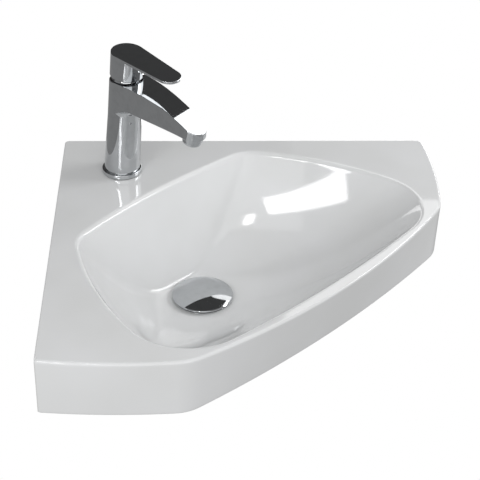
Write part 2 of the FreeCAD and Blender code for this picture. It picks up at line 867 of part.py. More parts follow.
def add_spout(body):
    side = new_sketch(body, "spout_side", "XZ_Plane")
    far = S.spout_tip_reach + OUTSIDE
    draw_outline(side, [(0, S.belly_root_height), (S.belly_tip_reach, S.belly_tip_height),
                        (far, S.belly_tip_height), (far, TRIM_TOP), (0, TRIM_TOP)])
    pad(body, "spout", side, 2.0 * S.column_top_radius, midplane=True)
    root = S.column_top_radius - 1.0
    edge = S.column_top_radius + S.belly_round
    crown = S.belly_root_height + S.flare_rise
    low = crown - S.belly_round
    turn(body, "belly_flare",
         [(0, low), (root, low), (root + 1.0, low), (edge, crown), (edge, crown + 4.0),
          (0, crown + 4.0)],
         {2: -S.belly_round})
    trim = new_sketch(body, "spout_plan", "XY_Plane", TRIM_FLOOR)
    trim.addGeometry(spout_outline(), False)
    draw_outline(trim, [(-OUTSIDE, -OUTSIDE), (far + 5.0, -OUTSIDE), (far + 5.0, OUTSIDE),
                        (-OUTSIDE, OUTSIDE)])
    pocket(body, "spout_trim", trim, TRIM_TOP - TRIM_FLOOR + 5.0, reverse=True)


def add_column(body):
    turn(body, "column", [(0, -COLUMN_ROOT), (S.column_foot_radius, -COLUMN_ROOT),
                          (S.column_foot_radius, S.ring_height + S.groove_height),
                          (S.column_top_radius, TRIM_FLOOR),
                          (S.column_top_radius, TRIM_TOP), (0, TRIM_TOP)])


def cut_arch(body):
    """Trims column and spout to one arched top face."""
    sketch = new_sketch(body, "arch", "XZ_Plane")
    crown = V["arch_crown_height"]
    reach = V["arch_crown_reach"]
    radius = V["arch_radius"]
    start = -V["arch_crown_reach"]
    finish = V["spout_tip_reach"] + V["spout_tip_half"] + 12.0
    low_start = crown - radius + math.sqrt(radius ** 2 - (start - reach) ** 2)
    low_finish = crown - radius + math.sqrt(radius ** 2 - (finish - reach) ** 2)
    top = TRIM_TOP + 10.0
    draw_outline(sketch, [(start, top), (start, low_start), (finish, low_finish), (finish, top)],
                 {1: -S.arch_radius})
    pocket(body, "arch_cut", sketch, 3.0 * OUTSIDE, midplane=True)


def add_nozzle(body):
    mouth = leaning_sketch(body, "nozzle_circle", S.nozzle_reach, S.nozzle_height,
                           S.nozzle_tilt)
    draw_circle(mouth, S.nozzle_radius)
    pad(body, "nozzle", mouth, S.nozzle_bore_depth + S.nozzle_lip)
    clear = leaning_sketch(body, "nozzle_lip_circle", S.nozzle_reach, S.nozzle_height,
                           S.nozzle_tilt)
    draw_circle(clear, S.nozzle_radius + 2.0)
    pocket(body, "nozzle_lip", clear, S.nozzle_lip, reverse=True)
    bore = leaning_sketch(body, "nozzle_bore_circle", S.nozzle_reach, S.nozzle_height,
                          S.nozzle_tilt)
    draw_circle(bore, S.nozzle_bore)
    pocket(body, "nozzle_bore", bore, S.nozzle_bore_depth + S.nozzle_lip, reverse=True)


def cut_foot(body):
    """Level cut where the column stands on its base ring."""
    sketch = upright_sketch(body, "foot_circle", S.ring_height + S.groove_height)
    draw_circle(sketch, S.column_foot_radius * 1.6)
    pocket(body, "foot_cut", sketch, 2.0 * OUTSIDE / 3.0)


def cut_seat(body):
    """Bore, seat and ports of the cartridge."""
    drill(body, "cartridge_bore", S.cartridge_bore, TRIM_TOP, TRIM_TOP - S.seat_height)
    drill(body, "nut_bore", S.nut_bore, TRIM_TOP, TRIM_TOP - S.shoulder_height)
    recess = new_sketch(body, "seat_recess_outline", "XY_Plane", S.seat_height)
    draw_circle(recess, S.seat_recess_radius)
    draw_circle(recess, S.port_tower, S.port_reach, S.port_side)
    draw_circle(recess, S.port_tower, S.port_reach, -S.port_side)
    pocket(body, "seat_recess", recess, S.seat_recess_depth)
    ports = new_sketch(body, "port_circles", "XY_Plane", S.seat_height)
    draw_circle(ports, S.port_radius, S.port_reach, S.port_side)
    draw_circle(ports, S.port_radius, S.port_reach, -S.port_side)
    height = S.ring_height + S.groove_height
    pocket(body, "ports", ports, S.seat_height - height - S.hose_thread_depth + 4.0)


def cut_inlets(body):
    """Hose threads and stud thread, upright in the foot of the leaning column."""
    height = S.ring_height + S.groove_height
    hoses = upright_sketch(body, "hose_circles", height)
    draw_circle(hoses, S.hose_thread_radius, S.hose_reach, S.hose_side)
    draw_circle(hoses, S.hose_thread_radius, S.hose_reach, -S.hose_side)
    pocket(body, "hose_threads", hoses, S.hose_thread_depth, reverse=True)
    stud = upright_sketch(body, "stud_circle", height)
    draw_circle(stud, S.stud_radius + S.thread_clearance, S.stud_reach, 0)
    pocket(body, "stud_thread", stud, S.stud_top - height, reverse=True)


def cut_channel(body):
    """Water way from the seat recess through the spout to the nozzle."""
    path = new_sketch(body, "channel_path", "XZ_Plane")
    bend = Vector(V["channel_bend"], V["channel_height"], 0)
    start = Vector(V["channel_start"], V["channel_start_height"], 0)
    finish = Vector(V["nozzle_reach"] + 3.0, V["channel_height"] + 1.0, 0)
    path.addGeometry([Part.LineSegment(start, bend), Part.LineSegment(bend, finish)], False)
    path.addConstraint(Sketcher.Constraint("Coincident", 0, 2, 1, 1))
    slope = math.degrees(math.atan2(bend.y - start.y, bend.x - start.x))
    mouth = leaning_sketch(body, "channel_circle", S.channel_start, S.channel_start_height,
                           Size.of(90.0 - slope))
    draw_circle(mouth, S.channel_radius)
    feature = body.newObject("PartDesign::SubtractivePipe", "channel")
    feature.Profile = (mouth, [""])
    feature.Spine = (path, ["Edge1", "Edge2"])
    feature.Transition = "Right corner"


def cut_plug_hole(body):
    """Blind hole in the side of the column for the plug screw."""
    sketch = body.newObject("Sketcher::SketchObject", "plug_hole_circle")
    sketch.AttachmentSupport = [(origin_plane(body, "YZ_Plane"), "")]
    sketch.MapMode = "FlatFace"
    side = math.sin(math.radians(V["plug_turn"])) * V["column_top_radius"]
    sketch.setExpression("AttachmentOffset.Base.z", S.column_top_radius.text)
    draw_circle(sketch, S.plug_hole_radius, side, S.plug_height)
    pocket(body, "plug_hole", sketch, S.plug_depth)


def middle_of(edge):
    return edge.valueAt((edge.FirstParameter + edge.LastParameter) / 2.0)


def is_arch_rim(edge):
    """Edges where the arched top meets the sides of the column and the spout."""
    middle = middle_of(edge)
    outside = math.hypot(middle.x, middle.y) > (V["column_top_radius"] + V["nut_bore"]) / 2.0
    above = edge.BoundBox.ZMin > V["belly_tip_height"] + V["nozzle_bore_depth"] / 2.0
    return above and outside and edge.Length > V["column_top_radius"]


def is_belly_rim(edge):
    """Edges where the spout's underside meets its sides and nose."""
    box = edge.BoundBox
    beside = abs(middle_of(edge).y) > V["nozzle_radius"] + 1.0
    nose = box.XMax > V["spout_tip_reach"] + V["spout_tip_half"] - 1.0
    low = box.ZMax < V["belly_tip_height"] + 0.1 and box.ZMin > V["belly_root_height"] - 4.0
    return low and box.XMin > V["column_top_radius"] and (beside or nose)


def build_tap_body():
    body = new_body("tap_body")
    add_spout(body)
    add_column(body)
    cut_arch(body)
    fillet(body, "belly_rim_round", S.belly_edge_round, is_belly_rim)
    add_nozzle(body)
    cut_foot(body)
    cut_seat(body)
    cut_inlets(body)
    cut_channel(body)
    cut_plug_hole(body)
    fillet(body, "arch_rim_round", S.spout_edge_round, is_arch_rim)
    body.Placement = on_diagonal(V["tap_u"], 0.0, V["tap_lean"])
    return body


# ---------------------------------------------------------------------------------------------
# Mixer: base ring, gasket and the fixing below the deck
# ---------------------------------------------------------------------------------------------

HEX_CORNER = 1.0 / math.cos(math.radians(30.0))


def hexagon(sketch, flats):
    """Regular hexagon about the sketch's origin, two of its flats across the Y axis."""
    corner = flats * (HEX_CORNER / 2.0)
    points = []
    for step in range(6):
        angle = math.radians(60.0 * step)
        points.append((corner * math.cos(angle), corner * math.sin(angle)))
    draw_outline(sketch, points)


def place_upright(body, u, z=0.0):
    body.Placement = on_diagonal(u, z)
    return body


def place_in_tap(body):
    body.Placement = on_diagonal(V["tap_u"], 0.0, V["tap_lean"])
    return body


def build_base_ring():
    body = new_body("tap_base_ring")
    low = S.gasket_height
    turn(body, "ring", [(S.ring_bore, low), (S.ring_radius, low),
                        (S.ring_radius, S.ring_height), (S.groove_radius, S.ring_height),
                        (S.groove_radius, S.ring_height + S.groove_height),
                        (S.ring_bore, S.ring_height + S.groove_height)])
    fillet(body, "ring_round", 0.8,
           lambda edge: is_level(edge, V["ring_height"]) and edge.Length > 140.0)
    return place_upright(body, V["tap_u"])


def build_base_gasket():
    body = new_body("tap_base_gasket")
    ring(body, "gasket", S.ring_bore + 1.0, S.gasket_radius, 0.0, S.gasket_height)
    return place_upright(body, V["tap_u"])


def build_horseshoe(label, top, thickness):
    """Washer that bears under the deck and leaves a mouth for the supply hoses."""
    body = new_body(label)
    disc(body, "washer", S.horseshoe_radius, top - thickness, top)
    drill(body, "stud_hole", S.stud_radius + 0.2, top + 1.0, thickness + 2.0, S.stud_reach)
    drill(body, "hose_opening", S.horseshoe_opening, top + 1.0, thickness + 2.0,
          S.horseshoe_opening_reach)
    mouth = new_sketch(body, "mouth_outline", "XY_Plane", top + 1.0)
    half = S.horseshoe_mouth
    far = S.horseshoe_radius + 5.0
    near = S.horseshoe_opening_reach
    draw_outline(mouth, [(near, -half), (far, -half), (far, half), (near, half)])
    pocket(body, "mouth", mouth, thickness + 2.0)
    return place_upright(body, V["tap_u"])


def build_stud():
    body = new_body("fixing_stud")
    disc(body, "stud", S.stud_radius, S.stud_bottom, S.stud_top)
    fillet(body, "stud_ends", 0.7, lambda edge: edge.BoundBox.ZLength < 0.01, "Chamfer")
    body.Placement = place_upright(body, V["tap_u"]).Placement.multiply(
        Placement(Vector(V["stud_reach"], 0, 0), Rotation()))
    return body


def build_stud_nut():
    body = new_body("stud_nut")
    top = -(S.tap_boss_depth + S.horseshoe_rubber + S.horseshoe_steel)
    outline = new_sketch(body, "nut_outline", "XY_Plane", top)
    hexagon(outline, S.stud_nut_flats)
    draw_circle(outline, S.stud_radius + S.thread_clearance)
    pad(body, "nut", outline, S.stud_nut_height, reverse=True)
    body.Placement = place_upright(body, V["tap_u"]).Placement.multiply(
        Placement(Vector(V["stud_reach"], 0, 0), Rotation()))
    return body


# ---------------------------------------------------------------------------------------------
# Mixer: cartridge
# ---------------------------------------------------------------------------------------------

BASE_LOW = S.seat_height + S.base_lift
DISC_LOW = BASE_LOW + S.base_thickness
DISC_TOP = DISC_LOW + S.fixed_disc_thickness
MOVING_LOW = DISC_TOP + S.disc_gap
CARRIER_LOW = MOVING_LOW + S.moving_disc_thickness
CARRIER_TOP = CARRIER_LOW + S.carrier_thickness
TURRET_LOW = CARRIER_TOP + S.turret_lift
ROOF_LOW = S.shoulder_height - S.roof_thickness
BALL_HEIGHT = S.pivot_height - S.lever_arm
TURRET_BORE = S.turret_radius + S.turret_clearance


def port_sketch(body, name, height, inlet_radius, outlet_radius):
    sketch = new_sketch(body, name, "XY_Plane", height)
    draw_circle(sketch, inlet_radius, S.port_reach, S.port_side)
    draw_circle(sketch, inlet_radius, S.port_reach, -S.port_side)
    if outlet_radius is not None:
        draw_circle(sketch, outlet_radius, -S.outlet_reach, 0)
    return sketch


def build_cartridge_base():
    body = new_body("cartridge_base")
    disc(body, "plate", S.cartridge_bore - S.base_clearance, BASE_LOW, DISC_LOW)
    ports = port_sketch(body, "port_circles", DISC_LOW, S.port_radius, S.outlet_radius)
    pocket(body, "ports", ports, S.base_thickness + 1.0)
    seats = port_sketch(body, "seal_circles", BASE_LOW, S.seal_outer_radius + 0.05, None)
    pocket(body, "seal_seats", seats, S.seal_height - S.base_lift, reverse=True)
    return place_in_tap(body)


def build_cartridge_seals():
    body = new_body("cartridge_seals")
    body.AllowCompound = True
    sketch = new_sketch(body, "seal_outline", "XY_Plane", S.seat_height)
    draw_circle(sketch, S.seal_outer_radius, S.port_reach, S.port_side)
    draw_circle(sketch, S.seal_inner_radius, S.port_reach, S.port_side)
    first = pad(body, "seal", sketch, S.seal_height)
    other = body.newObject("PartDesign::Mirrored", "other_seal")
    other.Originals = [first]
    other.MirrorPlane = (origin_plane(body, "XZ_Plane"), [""])
    body.Tip = other
    return place_in_tap(body)


def build_fixed_disc():
    body = new_body("fixed_disc")
    disc(body, "plate", S.fixed_disc_radius, DISC_LOW, DISC_TOP)
    ports = port_sketch(body, "port_circles", DISC_TOP, S.port_radius, S.outlet_radius)
    pocket(body, "ports", ports, S.fixed_disc_thickness + 1.0)
    return place_in_tap(body)


def build_moving_disc():
    """Ceramic disc whose blind pocket joins the inlets to the outlet when it slides forward."""
    body = new_body("moving_disc")
    disc(body, "plate", S.moving_disc_radius, MOVING_LOW, CARRIER_LOW)
    sketch = new_sketch(body, "pocket_outline", "XY_Plane", MOVING_LOW)
    back = -(S.outlet_reach + 2.4)
    front = S.port_reach - S.port_radius - 0.5
    draw_outline(sketch, [(back, -3.2), (front, -7.6), (front, 7.6), (back, 3.2)])
    pocket(body, "mixing_pocket", sketch, S.moving_disc_thickness * 0.55, reverse=True)
    return place_in_tap(body)


def build_disc_carrier():
    body = new_body("disc_carrier")
    disc(body, "plate", S.carrier_radius, CARRIER_LOW, CARRIER_TOP)
    sides = new_sketch(body, "flats_outline", "XY_Plane", CARRIER_TOP + 1.0)
    far = S.carrier_radius + 5.0
    flat = S.carrier_flat
    draw_outline(sides, [(-far, flat), (far, flat), (far, far), (-far, far)])
    draw_outline(sides, [(-far, -far), (far, -far), (far, -flat), (-far, -flat)])
    pocket(body, "flats", sides, S.carrier_thickness + 2.0)
    depth = CARRIER_TOP - CARRIER_LOW - 0.2
    drill(body, "ball_pocket", S.ball_radius + S.ball_clearance, CARRIER_TOP, depth)
    return place_in_tap(body)


def build_cartridge_housing():
    body = new_body("cartridge_housing")
    turn(body, "shell", [(S.chamber_radius, DISC_LOW), (S.housing_radius, DISC_LOW),
                         (S.housing_radius, S.shoulder_height),
                         (S.neck_radius, S.shoulder_height), (S.neck_radius, S.neck_height),
                         (TURRET_BORE, S.neck_height), (TURRET_BORE, ROOF_LOW),
                         (S.chamber_radius, ROOF_LOW)])
    return place_in_tap(body)


def build_turret():
    """Turns with the lever and guides the disc carrier between two lugs."""
    body = new_body("cartridge_turret")
    flange_top = TURRET_LOW + S.turret_flange_height
    turn(body, "barrel", [(0, TURRET_LOW), (S.turret_flange, TURRET_LOW),
                          (S.turret_flange, flange_top), (S.turret_radius, flange_top),
                          (S.turret_radius, S.turret_top), (0, S.turret_top)])
    lugs = new_sketch(body, "lug_outline", "XY_Plane", TURRET_LOW)
    near = S.carrier_flat + S.guide_clearance
    far = near + S.guide_width
    half = S.carrier_radius / 2.0
    draw_outline(lugs, [(-half, near), (half, near), (half, far), (-half, far)])
    first = pad(body, "lug", lugs, TURRET_LOW - CARRIER_LOW - 0.4, reverse=True)
    other = body.newObject("PartDesign::Mirrored", "other_lug")
    other.Originals = [first]
    other.MirrorPlane = (origin_plane(body, "XZ_Plane"), [""])
    body.Tip = other
    slot = new_sketch(body, "slot_outline", "XY_Plane", S.turret_top + 1.0)
    wide = S.turret_slot / 2.0
    long = S.turret_slot_half
    draw_outline(slot, [(-long, -wide), (long, -wide), (long, wide), (-long, wide)])
    pocket(body, "slot", slot, S.turret_top - TURRET_LOW + 2.0)
    hole = new_sketch(body, "pin_circle", "XZ_Plane", -S.turret_radius - 1.0)
    draw_circle(hole, S.pin_radius + 0.02, 0, S.pivot_height)
    pocket(body, "pin_hole", hole, 2.0 * S.turret_radius + 2.0, reverse=True)
    return place_in_tap(body)


def build_lever_pin():
    body = new_body("lever_pin")
    sketch = new_sketch(body, "pin_circle", "XZ_Plane")
    draw_circle(sketch, S.pin_radius, 0, S.pivot_height)
    pad(body, "pin", sketch, 2.0 * (S.turret_radius - 0.4), midplane=True)
    return place_in_tap(body)


def build_lever_stem():
    body = new_body("lever_stem")
    low = S.pivot_height - S.stem_block_low
    high = S.pivot_height + S.stem_block_high
    block = new_sketch(body, "block_outline", "XY_Plane", low)
    half = S.stem_side / 2.0
    wide = S.turret_slot / 2.0 - S.stem_clearance
    draw_outline(block, [(-half, -wide), (half, -wide), (half, wide), (-half, wide)])
    pad(body, "block", block, high - low)
    round_part = new_sketch(body, "neck_circle", "XY_Plane", high - 1.0)
    draw_circle(round_part, S.stem_neck_radius)
    pad(body, "neck", round_part, S.socket_base - high + 2.0)
    square = new_sketch(body, "square_outline", "XY_Plane", S.socket_base)
    draw_outline(square, [(-half, -half), (half, -half), (half, half), (-half, half)])
    pad(body, "square", square, S.socket_depth)
    arm = new_sketch(body, "arm_circle", "XY_Plane", BALL_HEIGHT)
    draw_circle(arm, S.arm_radius)
    pad(body, "arm", arm, low - BALL_HEIGHT + 1.0)
    radius = S.ball_radius
    turn(body, "ball", [(0, BALL_HEIGHT - radius), (radius, BALL_HEIGHT),
                        (0, BALL_HEIGHT + radius)], {0: radius, 1: radius})
    hole = new_sketch(body, "pin_circle", "XZ_Plane", -half - 3.0)
    draw_circle(hole, S.pin_radius + 0.03, 0, S.pivot_height)
    pocket(body, "pin_hole", hole, S.stem_side + 6.0, reverse=True)
    return place_in_tap(body)


def build_cartridge_nut():
    body = new_body("cartridge_nut")
    top = S.shoulder_height + S.nut_height
    ring(body, "nut", S.neck_radius + 0.1, S.nut_bore - S.nut_clearance, S.shoulder_height, top)
    notch = new_sketch(body, "notch_circle", "XY_Plane", top)
    draw_circle(notch, S.nut_notch, S.neck_radius + 0.1, 0)
    first = pocket(body, "notch", notch, S.nut_height * 0.6)
    pattern = body.newObject("PartDesign::PolarPattern", "notches")
    pattern.Originals = [first]
    pattern.Axis = (notch, ["N_Axis"])
    pattern.Angle = FULL_TURN
    pattern.Occurrences = 6
    body.Tip = pattern
    return place_in_tap(body)


def build_dome_ring():
    body = new_body("dome_ring")
    outer = S.dome_radius
    inner = S.dome_radius - S.dome_thickness
    opening = V["dome_opening"]
    top = Size.of(V["pivot_height"] + math.sqrt(V["dome_radius"] ** 2 - opening ** 2))
    inner_radius = V["dome_radius"] - V["dome_thickness"]
    under = Size.of(V["pivot_height"] + math.sqrt(inner_radius ** 2 - opening ** 2))
    turn(body, "dome", [(inner, S.dome_base), (outer, S.dome_base), (outer, S.pivot_height),
                        (S.dome_opening, top), (S.dome_opening, under),
                        (inner, S.pivot_height)],
         {2: outer, 4: -inner})
    return place_in_tap(body)


# ---------------------------------------------------------------------------------------------
# Mixer: lever handle
# ---------------------------------------------------------------------------------------------


def handle_outline():
    """Round cap and narrower round tip with straight tangent sides, seen from above."""
    cap = V["cap_radius"]
    tip = V["blade_tip_radius"]
    reach = V["blade_reach"]
    angle = math.acos((cap - tip) / reach)
    cosine = math.cos(angle)
    sine = math.sin(angle)
    near = Vector(cap * cosine, cap * sine, 0)
    far = Vector(reach + tip * cosine, tip * sine, 0)
    near_low = Vector(near.x, -near.y, 0)
    far_low = Vector(far.x, -far.y, 0)
    return [
        Part.Arc(near, Vector(-cap, 0, 0), near_low),
        Part.LineSegment(near_low, far_low),
        Part.Arc(far_low, Vector(reach + tip, 0, 0), far),
        Part.LineSegment(far, near),
    ]


def build_lever_handle():
    body = new_body("lever_handle")
    skirt = new_sketch(body, "skirt_circle", "XY_Plane", S.cap_skirt_height)
    draw_circle(skirt, S.cap_radius)
    pad(body, "skirt", skirt, S.cap_top_height - S.cap_skirt_height)
    blade = outline_sketch(body, "blade_outline", handle_outline(),
                           S.cap_top_height - S.blade_thickness)
    pad(body, "blade", blade, S.blade_thickness)
    cavity = new_sketch(body, "cavity_circle", "XY_Plane", S.cavity_height)
    draw_circle(cavity, S.cap_radius - S.cap_wall)
    pocket(body, "cavity", cavity, S.cavity_height - S.cap_skirt_height + 1.0)
    half = S.stem_side / 2.0 + S.socket_clearance
    socket = new_sketch(body, "socket_outline", "XY_Plane", S.cavity_height - 1.0)
    draw_outline(socket, [(-half, -half), (half, -half), (half, half), (-half, half)])
    top = S.socket_base + S.socket_depth + S.socket_clearance
    pocket(body, "socket", socket, top - S.cavity_height + 1.0, reverse=True)
    grub = new_sketch(body, "grub_circle", "YZ_Plane", -S.stem_side / 2.0)
    draw_circle(grub, S.grub_radius + S.thread_clearance, 0, S.grub_height)
    pocket(body, "grub_hole", grub, S.cap_radius)
    plug = new_sketch(body, "index_circle", "YZ_Plane", -(S.cap_radius - S.index_depth))
    draw_circle(plug, S.index_radius, 0, S.grub_height)
    pocket(body, "index_hole", plug, S.index_depth + 2.0)
    fillet(body, "top_round", 0.7, lambda edge: is_level(edge, V["cap_top_height"]))
    fillet(body, "skirt_round", 1.1, lambda edge: is_level(edge, V["cap_skirt_height"])
           and abs(radius_of(edge) - V["cap_radius"]) < 0.01)
    return place_in_tap(body)


def build_grub_screw():
    body = new_body("handle_grub_screw")
    sketch = new_sketch(body, "screw_circle", "YZ_Plane", -S.stem_side / 2.0)
    draw_circle(sketch, S.grub_radius, 0, S.grub_height)
    pad(body, "screw", sketch, S.grub_length, reverse=True)
    key = new_sketch(body, "key_outline", "YZ_Plane", -(S.stem_side / 2.0 + S.grub_length))
    corner = S.grub_radius * 0.56
    points = []
    for step in range(6):
        angle = math.radians(60.0 * step)
        points.append((corner * math.cos(angle), S.grub_height + corner * math.sin(angle)))
    draw_outline(key, points)
    pocket(body, "key_socket", key, S.grub_length * 0.3, reverse=True)
    return place_in_tap(body)


def build_index_plug():
    body = new_body("index_plug")
    sketch = new_sketch(body, "plug_circle", "YZ_Plane", -(S.cap_radius - S.index_depth))
    draw_circle(sketch, S.index_radius - 0.03, 0, S.grub_height)
    pad(body, "plug", sketch, S.index_depth - 0.5, reverse=True)
    return place_in_tap(body)


def build_plug_screw():
    body = new_body("body_plug_screw")
    side = math.sin(math.radians(V["plug_turn"])) * V["column_top_radius"]
    face = math.cos(math.radians(V["plug_turn"])) * V["column_top_radius"]
    sketch = new_sketch(body, "plug_circle", "YZ_Plane", face - 0.1)
    draw_circle(sketch, S.plug_hole_radius - 0.04, side, S.plug_height)
    depth = face - 0.1 - (V["column_top_radius"] - V["plug_depth"])
    pad(body, "plug", sketch, depth, reverse=True)
    return place_in_tap(body)


# ---------------------------------------------------------------------------------------------
# Mixer: aerator, drawn about the nozzle's own axis
# ---------------------------------------------------------------------------------------------


def place_in_nozzle(body):
    inside = Placement(Vector(V["nozzle_reach"], 0, V["nozzle_height"]),
                       Rotation(LATERAL, V["nozzle_tilt"]))
    body.Placement = on_diagonal(V["tap_u"], 0.0, V["tap_lean"]).multiply(inside)
    return body


def build_aerator_housing():
    body = new_body("aerator_housing")
    turn(body, "shell", [(S.aerator_lip, 0), (S.aerator_radius, 0),
                         (S.aerator_radius, S.nozzle_lip), (S.aerator_thread, S.nozzle_lip),
                         (S.aerator_thread, S.aerator_height),
                         (S.aerator_inner, S.aerator_height),
                         (S.aerator_inner, S.aerator_lip_height),
                         (S.aerator_lip, S.aerator_lip_height)])
    fillet(body, "mouth_round", 0.5,
           lambda edge: is_level(edge, 0.0) and edge.Length > 60.0)
    return place_in_nozzle(body)


def build_aerator_insert():
    """Cup with two rings of jets around a middle one."""
    body = new_body("aerator_insert")
    low = S.aerator_lip_height
    disc(body, "cup", S.insert_radius, low, low + S.insert_height)
    drill(body, "cup_bore", S.insert_radius - 1.3, low + S.insert_height,
          S.insert_height - 1.4)
    drill(body, "middle_jet", S.insert_hole, low + 2.0, 4.0)
    for number, count in ((1, 6), (2, 12)):
        sketch = new_sketch(body, "jet_circle_%d" % number, "XY_Plane", low + 2.0)
        draw_circle(sketch, S.insert_hole, S.insert_ring_pitch * float(number), 0)
        first = pocket(body, "jet_%d" % number, sketch, 4.0)
        pattern = body.newObject("PartDesign::PolarPattern", "jets_%d" % number)
        pattern.Originals = [first]
        pattern.Axis = (sketch, ["N_Axis"])
        pattern.Angle = FULL_TURN
        pattern.Occurrences = count
        body.Tip = pattern
    return place_in_nozzle(body)


def build_aerator_seal():
    body = new_body("aerator_seal")
    ring(body, "seal", S.washer_bore, S.aerator_thread, S.aerator_height,
         S.aerator_height + S.washer_height)
    return place_in_nozzle(body)


# ---------------------------------------------------------------------------------------------
# Waste, drawn about the drain's axis with the bowl's floor at zero
# ---------------------------------------------------------------------------------------------

SEAT = -S.flange_recess_depth
FLANGE_LOW = SEAT + S.flange_seal_thickness
FLANGE_TOP = FLANGE_LOW + S.flange_thickness
BOSS_LOW = -S.waste_boss_depth
WASHER_TOP = BOSS_LOW - S.cone_seal_height
BACKNUT_TOP = WASHER_TOP - S.slip_washer_height
TAIL_LOW = FLANGE_LOW - S.tail_length
TRAP_TOP = BACKNUT_TOP - S.backnut_height - S.trap_gap
SPIDER_TOP = -S.spider_drop
LIP_LOW = SPIDER_TOP
CLICK_FLOOR = LIP_LOW - S.click_length + S.click_shoulder_height + S.click_floor
COLLAR_TOP = LIP_LOW - S.spindle_collar_drop
COLLAR_LOW = COLLAR_TOP - S.spindle_collar_height


def place_in_waste(body):
    return place_upright(body, V["drain_u"], -V["bowl_depth"])


def build_flange_seal():
    body = new_body("flange_seal")
    ring(body, "seal", S.waste_hole_radius + 0.4, S.flange_radius - 0.6, SEAT, FLANGE_LOW)
    return place_in_waste(body)


def build_waste_flange():
    """Flange, threaded tail and the web that carries the click cartridge."""
    body = new_body("waste_flange")
    web_low = SPIDER_TOP - S.spider_height
    shank = S.tail_radius - S.shank_relief
    turn(body, "tube", [(S.tail_bore, TAIL_LOW), (S.tail_radius, TAIL_LOW),
                        (S.tail_radius, TRAP_TOP), (shank, TRAP_TOP),
                        (shank, FLANGE_LOW), (S.flange_radius, FLANGE_LOW),
                        (S.flange_radius, FLANGE_TOP), (S.throat_radius, FLANGE_TOP),
                        (S.tail_bore, FLANGE_TOP - S.throat_depth)])
    web = new_sketch(body, "web_circle", "XY_Plane", SPIDER_TOP)
    draw_circle(web, S.tail_bore + 0.5)
    draw_circle(web, S.click_radius + 0.05)
    pad(body, "web", web, S.spider_height, reverse=True)
    window = new_sketch(body, "window_outline", "XY_Plane", SPIDER_TOP)
    window.addGeometry(window_outline(), False)
    first = pocket(body, "window", window, SPIDER_TOP - web_low + 1.0)
    pattern = body.newObject("PartDesign::PolarPattern", "windows")
    pattern.Originals = [first]
    pattern.Axis = (window, ["N_Axis"])
    pattern.Angle = FULL_TURN
    pattern.Occurrences = 4
    body.Tip = pattern
    fillet(body, "flange_round", 0.8,
           lambda edge: is_level(edge, FLANGE_TOP.value) and edge.Length > 190.0)
    return place_in_waste(body)


def window_outline():
    """One quarter window of the web, between two arcs about the axis."""
    inner = V["window_inner"]
    outer = V["window_outer"]
    half = math.radians(V["window_half_turn"])
    side = Vector(math.cos(half), math.sin(half), 0)
    other = Vector(side.x, -side.y, 0)
    return [
        Part.Arc(other * outer, Vector(outer, 0, 0), side * outer),
        Part.LineSegment(side * outer, side * inner),
        Part.Arc(other * inner, Vector(inner, 0, 0), side * inner),
        Part.LineSegment(other * inner, other * outer),
    ]


def build_cone_seal():
    body = new_body("hole_cone_seal")
    turn(body, "seal", [(S.seal_inner, WASHER_TOP), (S.seal_outer, WASHER_TOP),
                        (S.seal_outer, BOSS_LOW), (S.hole_seal_radius, BOSS_LOW),
                        (S.hole_seal_radius - 0.6, BOSS_LOW + S.hole_seal_reach),
                        (S.seal_inner, BOSS_LOW + S.hole_seal_reach)])
    return place_in_waste(body)


def build_slip_washer():
    body = new_body("slip_washer")
    ring(body, "washer", S.seal_inner, S.seal_outer, BACKNUT_TOP, WASHER_TOP)
    return place_in_waste(body)


def build_backnut():
    body = new_body("waste_backnut")
    low = BACKNUT_TOP - S.backnut_height
    ring(body, "nut", S.tail_radius + 0.01, S.backnut_radius, low, BACKNUT_TOP)
    scallop = new_sketch(body, "scallop_circle", "XY_Plane", BACKNUT_TOP + 1.0)
    draw_circle(scallop, S.backnut_lug, S.backnut_radius + S.backnut_lug * 0.3, 0)
    first = pocket(body, "scallop", scallop, S.backnut_height + 2.0)
    pattern = body.newObject("PartDesign::PolarPattern", "scallops")
    pattern.Originals = [first]
    pattern.Axis = (scallop, ["N_Axis"])
    pattern.Angle = FULL_TURN
    pattern.Occurrences = 8
    body.Tip = pattern
    return place_in_waste(body)


def build_click_cartridge():
    body = new_body("click_cartridge")
    top = LIP_LOW + S.click_shoulder_height
    low = top - S.click_length
    hole = S.spindle_radius + S.spindle_clearance
    turn(body, "barrel", [(0, low), (S.click_radius, low), (S.click_radius, LIP_LOW),
                          (S.click_shoulder_radius, LIP_LOW), (S.click_shoulder_radius, top),
                          (hole, top), (hole, LIP_LOW), (S.click_bore, LIP_LOW),
                          (S.click_bore, CLICK_FLOOR), (0, CLICK_FLOOR)])
    return place_in_waste(body)


def build_spindle():
    body = new_body("waste_spindle")
    tip = COLLAR_LOW - S.spindle_tail
    head = S.cap_gap - S.disc_boss_depth + S.spindle_thread
    turn(body, "rod", [(0, tip), (S.spindle_radius, tip), (S.spindle_radius, COLLAR_LOW),
                       (S.spindle_collar, COLLAR_LOW), (S.spindle_collar, COLLAR_TOP),
                       (S.spindle_radius, COLLAR_TOP), (S.spindle_radius, head), (0, head)])
    fillet(body, "ends", 0.6, lambda edge: is_level(edge, tip.value)
           or is_level(edge, head.value), "Chamfer")
    return place_in_waste(body)


